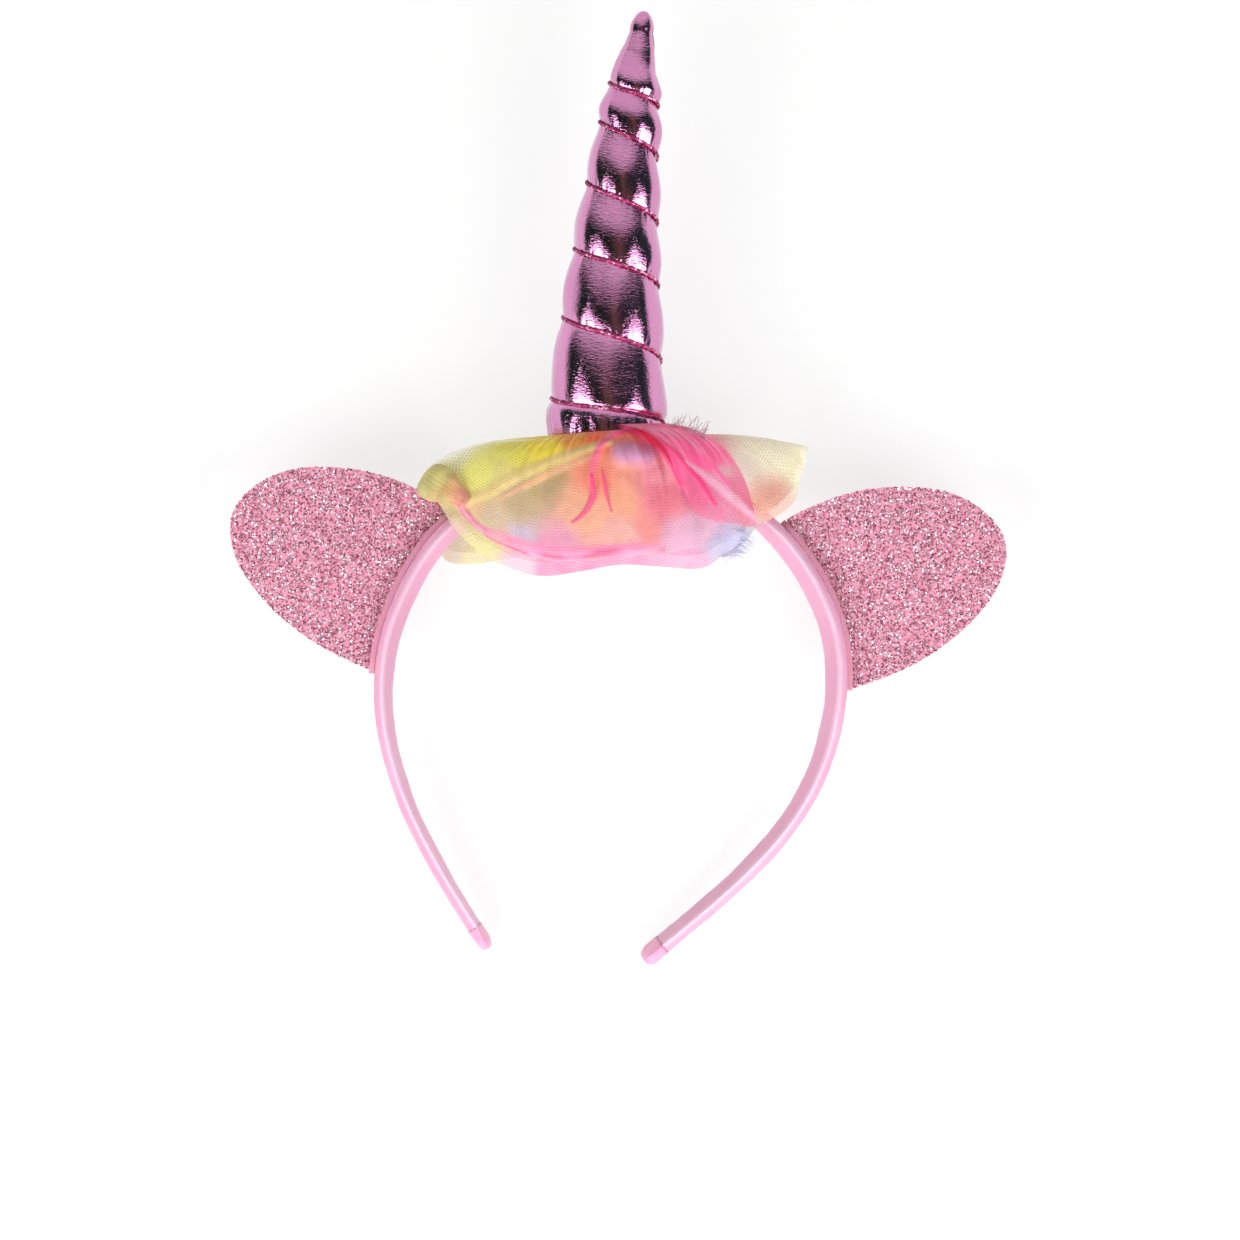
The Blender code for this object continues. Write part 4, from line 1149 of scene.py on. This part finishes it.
# Geometry Nodes set loose threads along the cut edges, where the net has frayed. They are drawn
# about twice as thick as they are, to show at all.
fray_tree, given = grow_tree("frayed threads", "Edge", (
    ("Thread length", "Float", 4.0 * MM),
    ("Thread radius", "Float", 0.075 * MM),
    ("Spread", "Float", 0.5),
    ("Seed", "Int", 5),
    ("Thread", "Material", None),
), "Threads")
roots = add_node(fray_tree, "GeometryNodeMeshToPoints", {"Mesh": given["Edge"]})
tip_reach = add_node(fray_tree, "ShaderNodeCombineXYZ", {"Z": given["Thread length"]}).outputs[0]
sagged = vector_maths(fray_tree, "ADD", tip_reach, (0.0006, 0.0, 0.0))
strand = add_node(fray_tree, "GeometryNodeCurveQuadraticBezier", {
    "Resolution": 6, "Start": (0.0, 0.0, 0.0), "End": tip_reach,
    "Middle": vector_maths(fray_tree, "SCALE", sagged, Scale=0.55),
})
thread = tube_along(fray_tree, strand.outputs["Curve"], given["Thread radius"], 4)
spread, back_spread = given["Spread"], maths(fray_tree, "MULTIPLY", given["Spread"], -1.0)
strayed = vector_by_chance(fray_tree, (back_spread,) * 3, (spread,) * 3, given["Seed"])
away = add_node(fray_tree, "GeometryNodeInputNamedAttribute", {"Name": "away"}, data_type="FLOAT_VECTOR")
headed = add_node(fray_tree, "FunctionNodeAlignRotationToVector", {
    "Vector": vector_maths(fray_tree, "ADD", away.outputs["Attribute"], strayed),
}, axis="Z").outputs[0]
twirl = add_node(fray_tree, "ShaderNodeCombineXYZ", {"Z": by_chance(fray_tree, -3.14, 3.14, 22)}).outputs[0]
set_in = copies_on(fray_tree, roots.outputs["Points"], thread, turned_by(fray_tree, headed, twirl),
                   by_chance(fray_tree, 0.35, 1.2, 23))
end_tree(fray_tree, set_in, given["Thread"])


def thread_material(name, shade):
    """Single nylon threads: a little see-through, with a soft sheen."""
    finish, tree = new_material(name)
    surfaced(tree, {"Base Color": colour(shade), "Roughness": 0.5, "Alpha": 0.8, "Sheen Weight": 0.4})
    return finish


FRAYS = (
    # name, thread colour, slot, edge as (across, up), way the threads stand, count, length, spread
    ("frayed_end", thread_material("lilac nylon thread", "#DADCF4"), "rainbow_tulle",
     ((36.0, 48.6), (38.6, 46.6), (37.4, 43.6), (35.4, 41.6), (32.4, 40.2)),
     (0.9, -0.35, 0.1), 130, 4.4, 0.34),
    ("frayed_gather", thread_material("pale nylon thread", "#CDB9C2"), "hot_pink_tulle",
     ((17.0, 79.0), (21.0, 78.4), (25.0, 77.0), (28.0, 75.2)), (0.5, 0.7, 0.2), 60, 5.0, 0.85),
)
skins = [bpy.data.objects[name] for name in ("flap_net", "overlay_net", "ruffle_upper", "ruffle_under")]
for name, finish, slot, edge_route, stands, count, length, spread in FRAYS:
    roots = []
    for index in range(count):
        across, up = smooth_row(edge_route, (len(edge_route) - 1) * (index + 0.5) / count)
        roots.append(in_row(laid_on(skins, (across, up, 12.0), -0.2)))
    edge_mesh = bpy.data.meshes.new(name + "_edge")
    edge_mesh.from_pydata(roots, [(index, index + 1) for index in range(count - 1)], [])
    edge_mesh.attributes.new("away", "FLOAT_VECTOR", "POINT")
    heading = (in_row(stands) - in_row((0, 0, 0))).normalized()
    for item in edge_mesh.attributes["away"].data:
        item.vector = heading
    threads = grown(name, edge_mesh, fray_tree, [
        ("Thread length", length * MM), ("Spread", spread), ("Thread", finish),
    ])
    add_piece(name, threads, finish)
